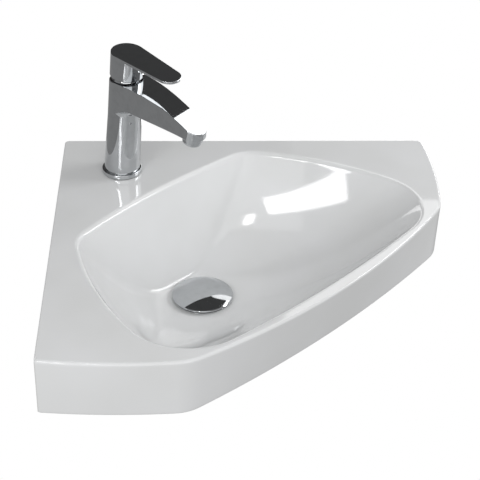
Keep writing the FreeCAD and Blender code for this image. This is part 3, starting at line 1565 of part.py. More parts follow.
def build_spring():
    """Coil between the spindle's collar and the floor of the click cartridge."""
    body = new_body("waste_spring")
    wire = new_sketch(body, "wire_outline", "XZ_Plane")
    corners = []
    for step in range(6):
        angle = math.radians(60.0 * step)
        corners.append((S.spring_radius + S.spring_wire * math.cos(angle),
                        CLICK_FLOOR + S.spring_wire + S.spring_wire * math.sin(angle)))
    draw_outline(wire, corners)
    coil = body.newObject("PartDesign::AdditiveHelix", "coil")
    coil.Profile = (wire, [""])
    coil.ReferenceAxis = (wire, ["V_Axis"])
    coil.Mode = "height-turns-angle"
    coil.Height = (COLLAR_LOW - CLICK_FLOOR - 2.0 * S.spring_wire).value
    coil.Turns = V["spring_turns"]
    return place_in_waste(body)


def build_waste_cap():
    body = new_body("waste_cap")
    low = S.cap_gap
    rim = low + S.disc_edge
    crown = rim + S.disc_rise
    chamfer = S.disc_chamfer
    shoulder = V["disc_radius"] - V["disc_chamfer"]
    rise = V["disc_rise"]
    dome = Size.of((shoulder ** 2 + rise ** 2) / (2.0 * rise))
    turn(body, "plate", [(0, low), (S.disc_radius - 0.6, low), (S.disc_radius, low + 0.6),
                         (S.disc_radius, rim - chamfer), (S.disc_radius - chamfer, rim),
                         (0, crown)],
         {4: dome})
    boss = new_sketch(body, "boss_circle", "XY_Plane", low + 0.5)
    draw_circle(boss, S.disc_boss_radius)
    pad(body, "boss", boss, S.disc_boss_depth + 0.5, reverse=True)
    thread = new_sketch(body, "thread_circle", "XY_Plane", low - S.disc_boss_depth)
    draw_circle(thread, S.spindle_radius + S.thread_clearance)
    pocket(body, "thread", thread, S.spindle_thread + 0.05, reverse=True)
    return place_in_waste(body)


def build_cap_seal():
    body = new_body("cap_seal")
    ring(body, "seal", S.cap_seal_inner, S.cap_seal_outer, FLANGE_TOP + S.cap_seal_gap,
         S.cap_gap)
    return place_in_waste(body)


# ---------------------------------------------------------------------------------------------
# Build, check, export
# ---------------------------------------------------------------------------------------------


def build_all():
    build_basin()
    build_tap_body()
    build_base_ring()
    build_base_gasket()
    under_deck = -S.tap_boss_depth
    build_horseshoe("rubber_horseshoe", under_deck, S.horseshoe_rubber)
    build_horseshoe("steel_horseshoe", under_deck - S.horseshoe_rubber, S.horseshoe_steel)
    build_stud()
    build_stud_nut()
    build_cartridge_base()
    build_cartridge_seals()
    build_fixed_disc()
    build_moving_disc()
    build_disc_carrier()
    build_cartridge_housing()
    build_turret()
    build_lever_pin()
    build_lever_stem()
    build_cartridge_nut()
    build_dome_ring()
    build_lever_handle()
    build_grub_screw()
    build_index_plug()
    build_plug_screw()
    build_aerator_housing()
    build_aerator_insert()
    build_aerator_seal()
    build_flange_seal()
    build_waste_flange()
    build_cone_seal()
    build_slip_washer()
    build_backnut()
    build_click_cartridge()
    build_spindle()
    build_spring()
    build_waste_cap()
    build_cap_seal()


def failed_objects():
    return [item.Name for item in doc.Objects
            if "Invalid" in item.State or "Error" in item.State]


def main():
    build_all()
    doc.recompute()
    failed = failed_objects()
    if failed:
        raise RuntimeError("not computed: " + ", ".join(failed))
    os.makedirs("parts", exist_ok=True)
    for body in doc.findObjects("PartDesign::Body"):
        shape = body.Shape
        if shape.isNull() or not shape.isValid():
            raise RuntimeError("bad shape: " + body.Label)
        shape.exportStep("parts/%s.step" % body.Label)


main()
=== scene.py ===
"""Looks of a wall-hung corner basin with a single-lever mixer and a click waste.

Frame, in metres: the origin is the room corner at deck height, +X runs along the back wall,
-Y along the left wall and +Z is up.  The basin is symmetric about the upright plane at 45
degrees to both walls.  Sizes in the classes below are millimetres; u is the distance from the
room corner along the diagonal, v the distance to its left.
"""

from __future__ import annotations

import logging
import math
from dataclasses import dataclass, field
from enum import Enum

import bmesh
import bpy
import numpy as np
from mathutils import Matrix, Vector

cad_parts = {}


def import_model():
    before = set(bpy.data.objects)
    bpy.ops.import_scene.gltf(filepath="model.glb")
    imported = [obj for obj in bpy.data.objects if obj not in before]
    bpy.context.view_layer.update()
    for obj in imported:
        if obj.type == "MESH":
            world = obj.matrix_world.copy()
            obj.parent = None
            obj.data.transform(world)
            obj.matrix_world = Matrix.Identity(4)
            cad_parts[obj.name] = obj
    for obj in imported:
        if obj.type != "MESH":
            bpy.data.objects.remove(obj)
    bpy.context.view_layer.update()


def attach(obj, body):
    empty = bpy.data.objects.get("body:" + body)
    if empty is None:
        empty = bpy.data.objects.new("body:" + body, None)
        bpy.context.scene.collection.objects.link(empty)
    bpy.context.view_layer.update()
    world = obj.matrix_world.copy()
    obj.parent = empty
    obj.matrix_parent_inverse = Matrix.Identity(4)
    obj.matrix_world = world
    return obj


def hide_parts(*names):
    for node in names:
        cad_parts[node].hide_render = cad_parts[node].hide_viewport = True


Array = np.ndarray
Thing = bpy.types.Object
Material = bpy.types.Material
Socket = bpy.types.NodeSocket
Pair = tuple[float, float]
Triple = tuple[float, float, float]
Poles = tuple[Array | None, Array | None]
MM = 0.001
TURN = 2.0 * math.pi
UP = np.array([0.0, 0.0, 1.0])
# Millimetres: how near two points count as one, and how short an edge counts as none.
SAME_POINT = 0.0015
NO_EDGE = 0.0005
# Places of the rings on a straight side: close to its ends and wide apart between.
SIDE_SHARES = (0.04, 0.25, 0.5, 0.75, 0.96)
log = logging.getLogger("corner_basin")


class Slot(Enum):
    """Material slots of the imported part."""

    GLAZE = "basin_glaze"
    CHROME = "chrome"
    RUBBER = "rubber_black"
    STEEL = "steel"
    BRASS = "brass"
    GREY = "plastic_grey"
    WHITE = "plastic_white"
    DISC = "disc_ceramic"
    INDEX = "index_red_blue"


# --- Curves, worked out as whole arrays ---


def unit(angle: Array) -> Array:
    """Points of the unit circle at given angles, one to a row."""
    return np.stack([np.cos(angle), np.sin(angle)], 1)


def arc(centre: Array, radius: float, start: Array, end: Array, count: int = 300) -> Array:
    """Points on the short way round a circle between two of its points, the last left out.

    The angle runs evenly from the start's to the end's.

    Args:
        centre: middle of the circle.
        radius: its radius.
        start: first point.
        end: point after the last.
        count: number of points.

    Returns:
        Points, one to a row.
    """
    first = math.atan2(start[1] - centre[1], start[0] - centre[0])
    last = math.atan2(end[1] - centre[1], end[0] - centre[0])
    swing = (last - first + math.pi) % TURN - math.pi
    angle = first + swing * np.arange(count) / count
    return centre + radius * unit(angle)


def line(start: Array, end: Array, count: int = 200) -> Array:
    """Even points from start towards end, the last left out."""
    share = np.arange(count)[:, None] / count
    return start + (end - start) * share


def conic(start: Array, corner: Array, end: Array, steps: int, weight: Array | float = 0.707) -> Array:
    """A round between two faces: the rational curve of three points.

    Each point is ((1-t)^2 A + 2 w t (1-t) B + t^2 C) / ((1-t)^2 + 2 w t (1-t) + t^2), with B the
    sharp corner and w near the cosine of half the turn for a circle.

    Args:
        start: points A, any shape that ends in coordinates.
        corner: points B.
        end: points C.
        steps: number of steps.
        weight: w, by default that of a right angle.

    Returns:
        The points of each step stacked in front, both ends included.
    """
    t = np.linspace(0.0, 1.0, steps + 1).reshape(-1, *([1] * np.ndim(start)))
    a, b, c = (1 - t) ** 2, 2 * weight * t * (1 - t), t**2
    return (a * start + b * corner + c * end) / (a + b + c)


def ease_corner(before: Array, corner: Array, after: Array, reach: float) -> tuple[Array, Array]:
    """Rounds the corner between two runs of points that meet there.

    Args:
        before: run that ends at the corner.
        corner: the sharp point.
        after: run that starts there.
        reach: distance from the corner at which the round starts.

    Returns:
        The first run up to the end of the round, and what is left of the second.
    """
    kept = before[np.linalg.norm(before - corner, axis=1) > reach]
    rest = after[np.linalg.norm(after - corner, axis=1) > reach]
    steps, weight = 24, 0.72
    bend = conic(kept[-1], corner, rest[0], steps, weight)
    return np.concatenate([kept[:-1], bend]), rest[1:]


def resample(points: Array, count: int, turn_share: float) -> Array:
    """Spreads points along a closed curve, crowded where it bends.

    The measure is turn_share of the angle turned through plus the rest of the length run.

    Args:
        points: dense points, one to a row.
        count: number wanted.
        turn_share: how much of the measure is the turn.

    Returns:
        The new points.
    """
    loop = np.concatenate([points, points[:1]])
    step = np.diff(loop, axis=0)
    length = np.linalg.norm(step, axis=1)
    heading = np.unwrap(np.arctan2(step[:, 1], step[:, 0]))
    last = heading[:1] + TURN * round((heading[-1] - heading[0]) / TURN)
    turned = np.abs(np.diff(np.concatenate([heading, last])))
    measure = (1 - turn_share) * length / length.sum() + turn_share * turned / turned.sum()
    along = np.concatenate([[0.0], np.cumsum(measure)])
    wanted = np.arange(count) / count * along[-1]
    return np.stack([np.interp(wanted, along, loop[:, k]) for k in range(2)], 1)


def outward(points: Array) -> Array:
    """Unit normals that point out of a closed curve that runs anticlockwise."""
    ahead = np.roll(points, -1, 0) - np.roll(points, 1, 0)
    normal = np.stack([ahead[:, 1], -ahead[:, 0]], 1)
    return normal / np.linalg.norm(normal, axis=1, keepdims=True)


def blend_centre(first: Array, near: float, second: Array, far: float, radius: float) -> Array:
    """Centre of the circle inside two circles that touches both, on the side of greater x + y."""
    near, far = near - radius, far - radius
    gap = float(np.linalg.norm(second - first))
    along = (gap**2 + near**2 - far**2) / (2.0 * gap)
    across = math.sqrt(near**2 - along**2)
    ahead = (second - first) / gap
    side = np.array([-ahead[1], ahead[0]])
    choices = (first + ahead * along + side * across, first + ahead * along - side * across)
    return max(choices, key=lambda point: point[0] + point[1])


def touching(big: Array, small: Array, radius: float) -> Array:
    """Point where a circle touches a larger one from the inside."""
    return small + (small - big) / np.linalg.norm(small - big) * radius


def chain(start: Array, circles: list[tuple[Array, float]], end: Array, counts: tuple[int, ...]) -> Array:
    """Arcs along circles that touch in turn, the smaller of two neighbours inside the larger.

    Args:
        start: point on the first circle.
        circles: middle and radius of each.
        end: point on the last circle, itself left out.
        counts: number of points on each arc.

    Returns:
        Points, one to a row.
    """
    stops = [start]
    for (first, near), (second, far) in zip(circles, circles[1:]):
        stops.append(touching(first, second, far) if far < near else touching(second, first, near))
    runs = zip(circles, stops, [*stops[1:], end], counts)
    return np.concatenate([arc(*circle, first, last, count) for circle, first, last, count in runs])


def diagonal(u: float, v: float = 0.0) -> Array:
    """Plan point at u along the diagonal and v to its left."""
    return np.array([u + v, v - u]) * math.sqrt(0.5)


def mirrored(points: Array) -> Array:
    """The same points across the diagonal, in reverse order."""
    return np.stack([-points[..., 1], -points[..., 0]], -1)[::-1]


# --- Skins: rings of points joined into closed meshes ---


def raised(plan: Array, height: Array | float) -> Array:
    """A ring of plan points at one height, or each at its own."""
    return np.concatenate([plan, np.broadcast_to(height, (len(plan),))[:, None]], 1)


def spread(first: Array, last: Array, shares: tuple[float, ...] = SIDE_SHARES) -> list[Array]:
    """Rings at given shares of the way from one ring to another."""
    return [first + (last - first) * share for share in shares]


def ring_faces(rings: int, sides: int, closed: bool) -> Array:
    """Quads between rings of equal count, the last joined to the first if closed."""
    row = np.arange(rings if closed else rings - 1)[:, None]
    column = np.arange(sides)[None, :]
    right = (column + 1) % sides
    above = (row + 1) % rings
    corners = [row * sides + column, row * sides + right, above * sides + right, above * sides + column]
    return np.stack(np.broadcast_arrays(*corners), -1).reshape(-1, 4)


def signed_volume(points: Array, faces: Array) -> float:
    """Volume inside the faces, below zero where they point inwards."""
    a, b, c = (points[faces[:, k]] for k in range(3))
    return float(np.einsum("ij,ij->i", a, np.cross(b, c)).sum() / 6.0)


def make_piece(name: str, points: Array, faces: list[Array], sharp: float) -> Thing:
    """An object at the origin with its faces outward.

    Args:
        name: name of the piece.
        points: corners in metres.
        faces: arrays of faces, each with its own number of corners.
        sharp: angle in degrees past which an edge stays crisp.

    Returns:
        The object, linked to the scene.
    """
    triangles = np.concatenate([f[:, [0, k, k + 1]] for f in faces for k in range(1, f.shape[1] - 1)])
    if signed_volume(points, triangles) < 0.0:
        faces = [f[:, ::-1] for f in faces]
    mesh = bpy.data.meshes.new(name)
    mesh.from_pydata(points.tolist(), [], [row for f in faces for row in f.tolist()])
    mesh.shade_smooth()
    mesh.set_sharp_from_angle(angle=math.radians(sharp))
    piece = bpy.data.objects.new(name, mesh)
    bpy.context.scene.collection.objects.link(piece)
    return piece


def skin(name: str, rings: Array, ends: Poles, sharp: float = 40.0) -> Thing:
    """A closed skin over rings of points, in metres.

    Args:
        name: name of the piece.
        rings: array of ring, point and coordinate, in millimetres.
        ends: pole point of the first and of the last ring; None twice joins the ends.
        sharp: crisp-edge angle in degrees.

    Returns:
        The piece.
    """
    count, sides = rings.shape[:2]
    points = [rings.reshape(-1, 3)]
    faces = [ring_faces(count, sides, closed=ends[0] is None)]
    column = np.arange(sides)
    for pole, base, flip in ((ends[0], 0, True), (ends[1], (count - 1) * sides, False)):
        if pole is None:
            continue
        index = sum(len(p) for p in points)
        points.append(np.asarray(pole, float).reshape(1, 3))
        near, far = base + column, base + (column + 1) % sides
        tip = np.full(sides, index)
        faces.append(np.stack([far, near, tip] if flip else [near, far, tip], 1))
    return make_piece(name, np.concatenate(points) * MM, faces, sharp)


def rounded(profile: list[Triple], steps: int = 5) -> Array:
    """A profile whose corners are rounded.

    Args:
        profile: corner points as first coordinate, second coordinate and radius of the round.
        steps: steps in each round.

    Returns:
        Points along the profile.
    """
    corners = np.array(profile, float)
    out = []
    for index, (x, y, radius) in enumerate(corners):
        here = np.array([x, y])
        if radius == 0.0 or index in (0, len(corners) - 1):
            out.append(here[None])
            continue
        back = corners[index - 1, :2] - here
        ahead = corners[index + 1, :2] - here
        back, ahead = back / np.linalg.norm(back), ahead / np.linalg.norm(ahead)
        half = math.acos(float(np.clip(back @ ahead, -1, 1))) / 2.0
        reach = radius / math.tan(half)
        out.append(conic(here + back * reach, here, here + ahead * reach, steps, math.sin(half)))
    return np.concatenate(out)


@dataclass(frozen=True)
class Axis:
    """A turning axis with its own frame: s and y across it, t along it."""

    origin: Triple
    along_s: Triple
    along_y: Triple
    along_t: Triple

    def place(self, points: Array) -> Array:
        """Points given as s, y, t moved into the row frame, in millimetres."""
        return np.asarray(self.origin) + points @ np.array([self.along_s, self.along_y, self.along_t])

    def at(self, height: float, s: float = 0.0, y: float = 0.0) -> Array:
        """The point at a height on the axis, or at s and y beside it."""
        return self.place(np.array([s, y, height]))

    def tilted(self, reach: float, height: float, degrees: float) -> Axis:
        """A child axis at s = reach and t = height, leaning further towards s."""
        angle = math.radians(degrees)
        s, t = np.array(self.along_s), np.array(self.along_t)
        ahead = math.cos(angle) * s - math.sin(angle) * t
        up = math.sin(angle) * s + math.cos(angle) * t
        return Axis(tuple(self.at(height, reach)), tuple(ahead), self.along_y, tuple(up))


def upright_axis(u: float, height: float = 0.0) -> Axis:
    """Axis on the diagonal, upright, its s pointing away from the room corner."""
    root = math.sqrt(0.5)
    x, y = diagonal(u)
    return Axis((x, y, height), (root, -root, 0.0), (root, root, 0.0), (0.0, 0.0, 1.0))


def shell(name: str, axis: Axis, rings: list[Array], ends: Poles, sharp: float) -> Thing:
    """A welded skin over rings given in an axis's own frame."""
    return weld(skin(name, axis.place(np.stack(rings)), ends, sharp), sharp)


def lathe(name: str, axis: Axis, profile: Array, sides: int = 160, sharp: float = 40.0) -> Thing:
    """Turns a profile about an axis: each ring is r (cos a, sin a) at its height.

    Args:
        name: name of the piece.
        axis: turning axis.
        profile: radius and height, one to a row; a zero radius at an end closes it in a pole.
        sides: points to a ring.
        sharp: crisp-edge angle in degrees.

    Returns:
        The piece.
    """
    angle = np.arange(sides) / sides * TURN
    round_about = np.stack([np.cos(angle), np.sin(angle), np.zeros(sides)], 1)
    first, last = (axis.at(height) if radius == 0.0 else None for radius, height in profile[[0, -1]])
    body = profile[int(first is not None) : len(profile) - int(last is not None)]
    rings = body[:, 0, None, None] * round_about + UP * body[:, 1, None, None]
    return skin(name, axis.place(rings), (first, last), sharp)


def cylinder(name: str, axis: Axis, radius: float, start: float, end: float, sides: int = 96) -> Thing:
    """A solid round tool along an axis between two heights, for a boss or a hole."""
    return lathe(name, axis, np.array([(0.0, start), (radius, start), (radius, end), (0.0, end)]), sides)


def combine(piece: Thing, tool: Thing, operation: str, sharp: float = 40.0) -> None:
    """Joins a tool to a piece or cuts it away, and removes the tool.

    Args:
        piece: object that is changed.
        tool: closed object.
        operation: UNION or DIFFERENCE.
        sharp: crisp-edge angle in degrees of the result.
    """
    modifier = piece.modifiers.new("cut", "BOOLEAN")
    modifier.operation = operation
    modifier.solver = "MANIFOLD"
    modifier.object = tool
    bpy.context.view_layer.update()
    graph = bpy.context.evaluated_depsgraph_get()
    result = bpy.data.meshes.new_from_object(piece.evaluated_get(graph))
    piece.modifiers.clear()
    old = piece.data
    piece.data = result
    result.name = piece.name
    bpy.data.meshes.remove(old)
    bpy.data.objects.remove(tool)
    result.shade_smooth()
    result.set_sharp_from_angle(angle=math.radians(sharp))


# --- Finishes ---


def tint(code: str, alpha: float = 1.0) -> tuple[float, float, float, float]:
    """A colour written as sRGB hex, made linear."""
    parts = [int(code[k : k + 2], 16) / 255.0 for k in (1, 3, 5)]
    red, green, blue = (c / 12.92 if c <= 0.04045 else ((c + 0.055) / 1.055) ** 2.4 for c in parts)
    return (red, green, blue, alpha)


class Shader:
    """A node material while it is put together."""

    def __init__(self, name: str, **constants: object) -> None:
        """Starts from one principled shader whose constants sit on its own sockets."""
        self.material = bpy.data.materials.new(name)
        self.material.use_nodes = True
        self.tree = self.material.node_tree
        self.surface = self.tree.nodes["Principled BSDF"]
        for key, value in constants.items():
            self.surface.inputs[key.replace("_", " ")].default_value = value
        self.object_place = self.add("ShaderNodeTexCoord").outputs["Object"]

    def add(self, kind: str, inputs: dict | None = None, **settings: object) -> bpy.types.Node:
        """Adds a node.

        Args:
            kind: its type.
            inputs: values or sockets by input name or number.
            settings: its own properties.

        Returns:
            The node.
        """
        node = self.tree.nodes.new(kind)
        for key, value in settings.items():
            setattr(node, key, value)
        for key, value in (inputs or {}).items():
            if isinstance(value, Socket):
                self.tree.links.new(value, node.inputs[key])
            else:
                node.inputs[key].default_value = value
        return node

    def feed(self, name: str, socket: Socket) -> None:
        """Links a varying value to the surface."""
        self.tree.links.new(socket, self.surface.inputs[name])

    def noise(self, size: float, detail: float = 3.0, roughness: float = 0.5) -> Socket:
        """Cloudy values from 0 to 1 whose lumps are about size millimetres across."""
        inputs = {"Vector": self.object_place, "Scale": 1.0 / (size * MM)}
        inputs.update(Detail=detail, Roughness=roughness)
        return self.add("ShaderNodeTexNoise", inputs).outputs["Fac"]

    def colour(self, value: Socket, low: tuple[float, str], high: tuple[float, str]) -> None:
        """Runs the base colour by a value between two stops of place and sRGB hex."""
        node = self.add("ShaderNodeValToRGB", {"Fac": value})
        for element, (place, code) in zip(node.color_ramp.elements, (low, high)):
            element.position, element.color = place, tint(code)
        self.feed("Base Color", node.outputs["Color"])

    def total(self, first: Socket, second: Socket) -> Socket:
        """Sum of two values."""
        return self.add("ShaderNodeMath", {0: first, 1: second}, operation="ADD").outputs["Value"]

    def between(self, value: Socket, low: float, high: float, edges: Pair = (0.0, 1.0)) -> Socket:
        """Maps a value that runs over the edges onto low to high, held at both."""
        inputs = {"Value": value, "From Min": edges[0], "From Max": edges[1], "To Min": low, "To Max": high}
        return self.add("ShaderNodeMapRange", inputs, clamp=True).outputs["Result"]

    def relief(self, height: Socket, depth: float, strength: float = 1.0) -> None:
        """Raises the surface by a height whose full swing is depth millimetres."""
        inputs = {"Height": height, "Distance": depth * MM, "Strength": strength}
        self.feed("Normal", self.add("ShaderNodeBump", inputs).outputs["Normal"])


@dataclass(frozen=True)
class FiredGlaze:
    """White tin-bright glaze over vitreous china: glassy, with the faint waves of a fired coat.

    The eye sees a cold white that is a touch warmer where the glaze pools, mirror-like
    highlights that wobble slightly, and a duller film around the waste where water dries.
    """

    white: str = "#EBECED"
    pooled: str = "#E6E7E7"
    drain: Pair = (239.0, -120.0)

    def material(self) -> Material:
        """The glazed surface."""
        shader = Shader("china_fired_white_glaze", IOR=1.52, Specular_IOR_Level=0.5)
        shader.colour(shader.noise(90.0, 2.0), (0.3, self.white), (0.7, self.pooled))
        u, height = self.drain
        centre = tuple(float(c) * MM for c in (*diagonal(u), height))
        gap = shader.add("ShaderNodeVectorMath", {0: shader.object_place, 1: centre}, operation="DISTANCE")
        film = shader.between(gap.outputs["Value"], 0.05, 0.0, (0.035, 0.11))
        spots = shader.between(shader.noise(3.5, 4.0, 0.6), 0.03, 0.085, (0.35, 0.7))
        shader.feed("Roughness", shader.total(film, spots))
        shader.relief(shader.total(shader.noise(16.0, 1.0), shader.noise(2.2, 2.0)), 0.012, 0.5)
        return shader.material


@dataclass(frozen=True)
class GroundBisque:
    """Unglazed china, ground flat where the basin stands against the walls: matt and chalky."""

    body: str = "#DEDAD1"
    stained: str = "#CFC9BD"

    def material(self) -> Material:
        """The bare fired clay with its fine grain and grinding marks."""
        shader = Shader("china_bisque_ground_matt", IOR=1.5)
        grain = shader.noise(0.8, 6.0, 0.7)
        shader.colour(shader.noise(28.0, 5.0, 0.6), (0.35, self.body), (0.7, self.stained))
        shader.feed("Roughness", shader.between(grain, 0.72, 0.92))
        shader.relief(grain, 0.06, 0.6)
        return shader.material


@dataclass(frozen=True)
class PlatedChrome:
    """Bright chrome over polished brass: a dark mirror with hair-fine polishing lines.

    The eye sees crisp reflections that bend a little with the polisher's waves, and a faint
    dulling where water has dried.
    """

    name: str = "brass_polished_chrome_plate"
    metal: str = "#C6C8CA"
    dulled: str = "#BDBFC1"
    gloss: float = 0.035
    film: float = 0.09

    def material(self) -> Material:
        """The plated surface."""
        shader = Shader(self.name, Metallic=1.0)
        film = shader.noise(9.0, 5.0, 0.62)
        shader.colour(film, (0.45, self.metal), (0.75, self.dulled))
        shader.feed("Roughness", shader.between(film, self.gloss, self.film, (0.5, 0.82)))
        inputs = {"Vector": shader.object_place, "Scale": (1.0, 1.0, 9.0)}
        lines = shader.add("ShaderNodeMapping", inputs).outputs["Vector"]
        swirl = shader.add("ShaderNodeTexNoise", {"Vector": lines, "Scale": 260.0, "Detail": 2.0})
        shader.relief(swirl.outputs["Fac"], 0.004, 0.35)
        return shader.material


@dataclass(frozen=True)
class BareMetal:
    """Bare machined metal, satin from the tool, with faint turning lines around Z."""

    name: str
    bright: str
    dark: str
    smooth: float = 0.26
    rough: float = 0.42
    line_pitch: float = 0.35

    def material(self) -> Material:
        """The machined surface."""
        shader = Shader(self.name, Metallic=1.0)
        cloud = shader.noise(5.0, 5.0, 0.6)
        shader.colour(cloud, (0.35, self.bright), (0.7, self.dark))
        shader.feed("Roughness", shader.between(cloud, self.smooth, self.rough, (0.3, 0.75)))
        inputs = {"Vector": shader.object_place, "Scale": 1.0 / (self.line_pitch * 6.0 * MM)}
        inputs.update(Distortion=0.6, Detail=1.0)
        lines = shader.add("ShaderNodeTexWave", inputs, bands_direction="Z").outputs["Fac"]
        shader.relief(lines, 0.01, 0.35)
        return shader.material


@dataclass(frozen=True)
class MouldedPart:
    """Rubber, plastic or pressed ceramic: one colour with a moulded or fired skin."""

    name: str
    light: str
    deep: str
    smooth: float
    rough: float
    grain: float
    depth: float
    bend: float = 1.46

    def material(self) -> Material:
        """The moulded surface."""
        shader = Shader(self.name, IOR=self.bend)
        cloud = shader.noise(7.0, 4.0, 0.55)
        grain = shader.noise(self.grain, 3.0, 0.6)
        shader.colour(cloud, (0.3, self.light), (0.72, self.deep))
        shader.feed("Roughness", shader.between(grain, self.smooth, self.rough, (0.3, 0.7)))
        shader.relief(grain, self.depth, 0.5)
        return shader.material


@dataclass(frozen=True)
class IndexEnamel:
    """Plug with one half red and the other blue, for hot and cold."""

    hot: str = "#B3202A"
    cold: str = "#1F4E9E"
    seam: float = 0.06

    def material(self) -> Material:
        """Two colours that meet on the basin's plane of symmetry."""
        shader = Shader("acrylic_index_red_and_blue", IOR=1.49, Coat_Weight=0.4, Coat_Roughness=0.05)
        place = shader.add("ShaderNodeSeparateXYZ", {"Vector": shader.object_place})
        side = shader.total(place.outputs["X"], place.outputs["Y"])
        seam = shader.between(side, 0.0, 1.0, (-self.seam * MM, self.seam * MM))
        shader.colour(seam, (0.45, self.hot), (0.55, self.cold))
        shader.feed("Roughness", shader.between(shader.noise(0.8), 0.18, 0.3))
        return shader.material


@dataclass
class Palette:
    """Every finish by slot, each material made once."""

    finishes: dict[Slot, object] = field(default_factory=lambda: {
        Slot.GLAZE: FiredGlaze(),
        Slot.CHROME: PlatedChrome(),
        Slot.RUBBER: MouldedPart("rubber_black_moulded", "#1C1D1E", "#141516", 0.55, 0.78, 0.5, 0.02, 1.5),
        Slot.STEEL: BareMetal("steel_zinc_plated", "#B4B6B4", "#8F928F", 0.28, 0.5),
        Slot.BRASS: BareMetal("brass_turned_bare", "#C6A25E", "#A9853F", 0.22, 0.4),
        Slot.GREY: MouldedPart("acetal_grey_moulded", "#6F7478", "#666B6F", 0.32, 0.45, 0.4, 0.01, 1.48),
        Slot.WHITE: MouldedPart("acetal_white_moulded", "#E4E3DD", "#DAD8D0", 0.28, 0.42, 0.4, 0.01, 1.48),
        Slot.DISC: MouldedPart("alumina_lapped_disc", "#EDE8DC", "#E4DECF", 0.08, 0.16, 0.6, 0.003, 1.76),
        Slot.INDEX: IndexEnamel(),
    })
    made: dict[Slot, Material] = field(default_factory=dict)

    def get(self, slot: Slot) -> Material:
        """The material of a slot."""
        if slot not in self.made:
            self.made[slot] = self.finishes[slot].material()
        return self.made[slot]

    def dress(self, piece: Thing, slot: Slot, body: str) -> Thing:
        """Gives a piece its material, its slot and the body it rides on."""
        piece.data.materials.clear()
        piece.data.materials.append(self.get(slot))
        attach(piece, body)
        log.info("piece %s: %d faces, %s, on %s", piece.name, len(piece.data.polygons), slot.value, body)
        return piece


# --- Basin ---


def weld(piece: Thing, sharp: float) -> Thing:
    """Merges points that coincide, where rings of a skin run together, and keeps crisp edges."""
    cloth = bmesh.new()
    cloth.from_mesh(piece.data)
    bmesh.ops.remove_doubles(cloth, verts=cloth.verts, dist=SAME_POINT * MM)
    bmesh.ops.dissolve_degenerate(cloth, edges=cloth.edges, dist=NO_EDGE * MM)
    cloth.to_mesh(piece.data)
    cloth.free()
    piece.data.shade_smooth()
    piece.data.set_sharp_from_angle(angle=math.radians(sharp))
    return piece


def carried_over(node: str) -> Thing:
    """A CAD node's own mesh, merged and smoothly shaded, shown in the node's place."""
    source = bpy.data.objects[node].data
    mesh = source.copy()
    piece = bpy.data.objects.new(node + "_finished", mesh)
    bpy.context.scene.collection.objects.link(piece)
    mesh.materials.clear()
    weld(piece, 32.0)
    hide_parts(node)
    return piece


@dataclass(frozen=True)
class Polar:
    """A closed plan curve as its reach in each direction from a middle point."""

    middle: Array
    points: Array

    def reach(self, angle: Array) -> Array:
        """Reach in given directions, between the curve's dense points."""
        gap = self.points - self.middle
        return np.interp(angle, np.arctan2(gap[:, 1], gap[:, 0]), np.linalg.norm(gap, axis=1), period=TURN)

    def measure(self) -> tuple[Array, Array]:
        """Direction of each point and a mix of turn, length and direction up to it."""
        gap = self.points - self.middle
        angle = np.arctan2(gap[:, 1], gap[:, 0])
        order = np.argsort(angle)
        angle, points = angle[order], self.points[order]
        step = np.roll(points, -1, 0) - points
        heading = np.arctan2(step[:, 1], step[:, 0])
        turned = np.abs((heading - np.roll(heading, 1) + math.pi) % TURN - math.pi)
        length = np.linalg.norm(step, axis=1)
        by_turn, by_length, by_angle = 0.5, 0.35, 0.15
        share = by_turn * np.cumsum(turned) / turned.sum() + by_length * np.cumsum(length) / length.sum()
        return angle, share + by_angle * (angle - angle[0]) / TURN


@dataclass(frozen=True)
class PlanSize:
    """Reaches and radii of the basin's outline at one height."""

    end_reach: float
    end_radius: float
    front_reach: float
    front_radius: float
    soft_radius: float


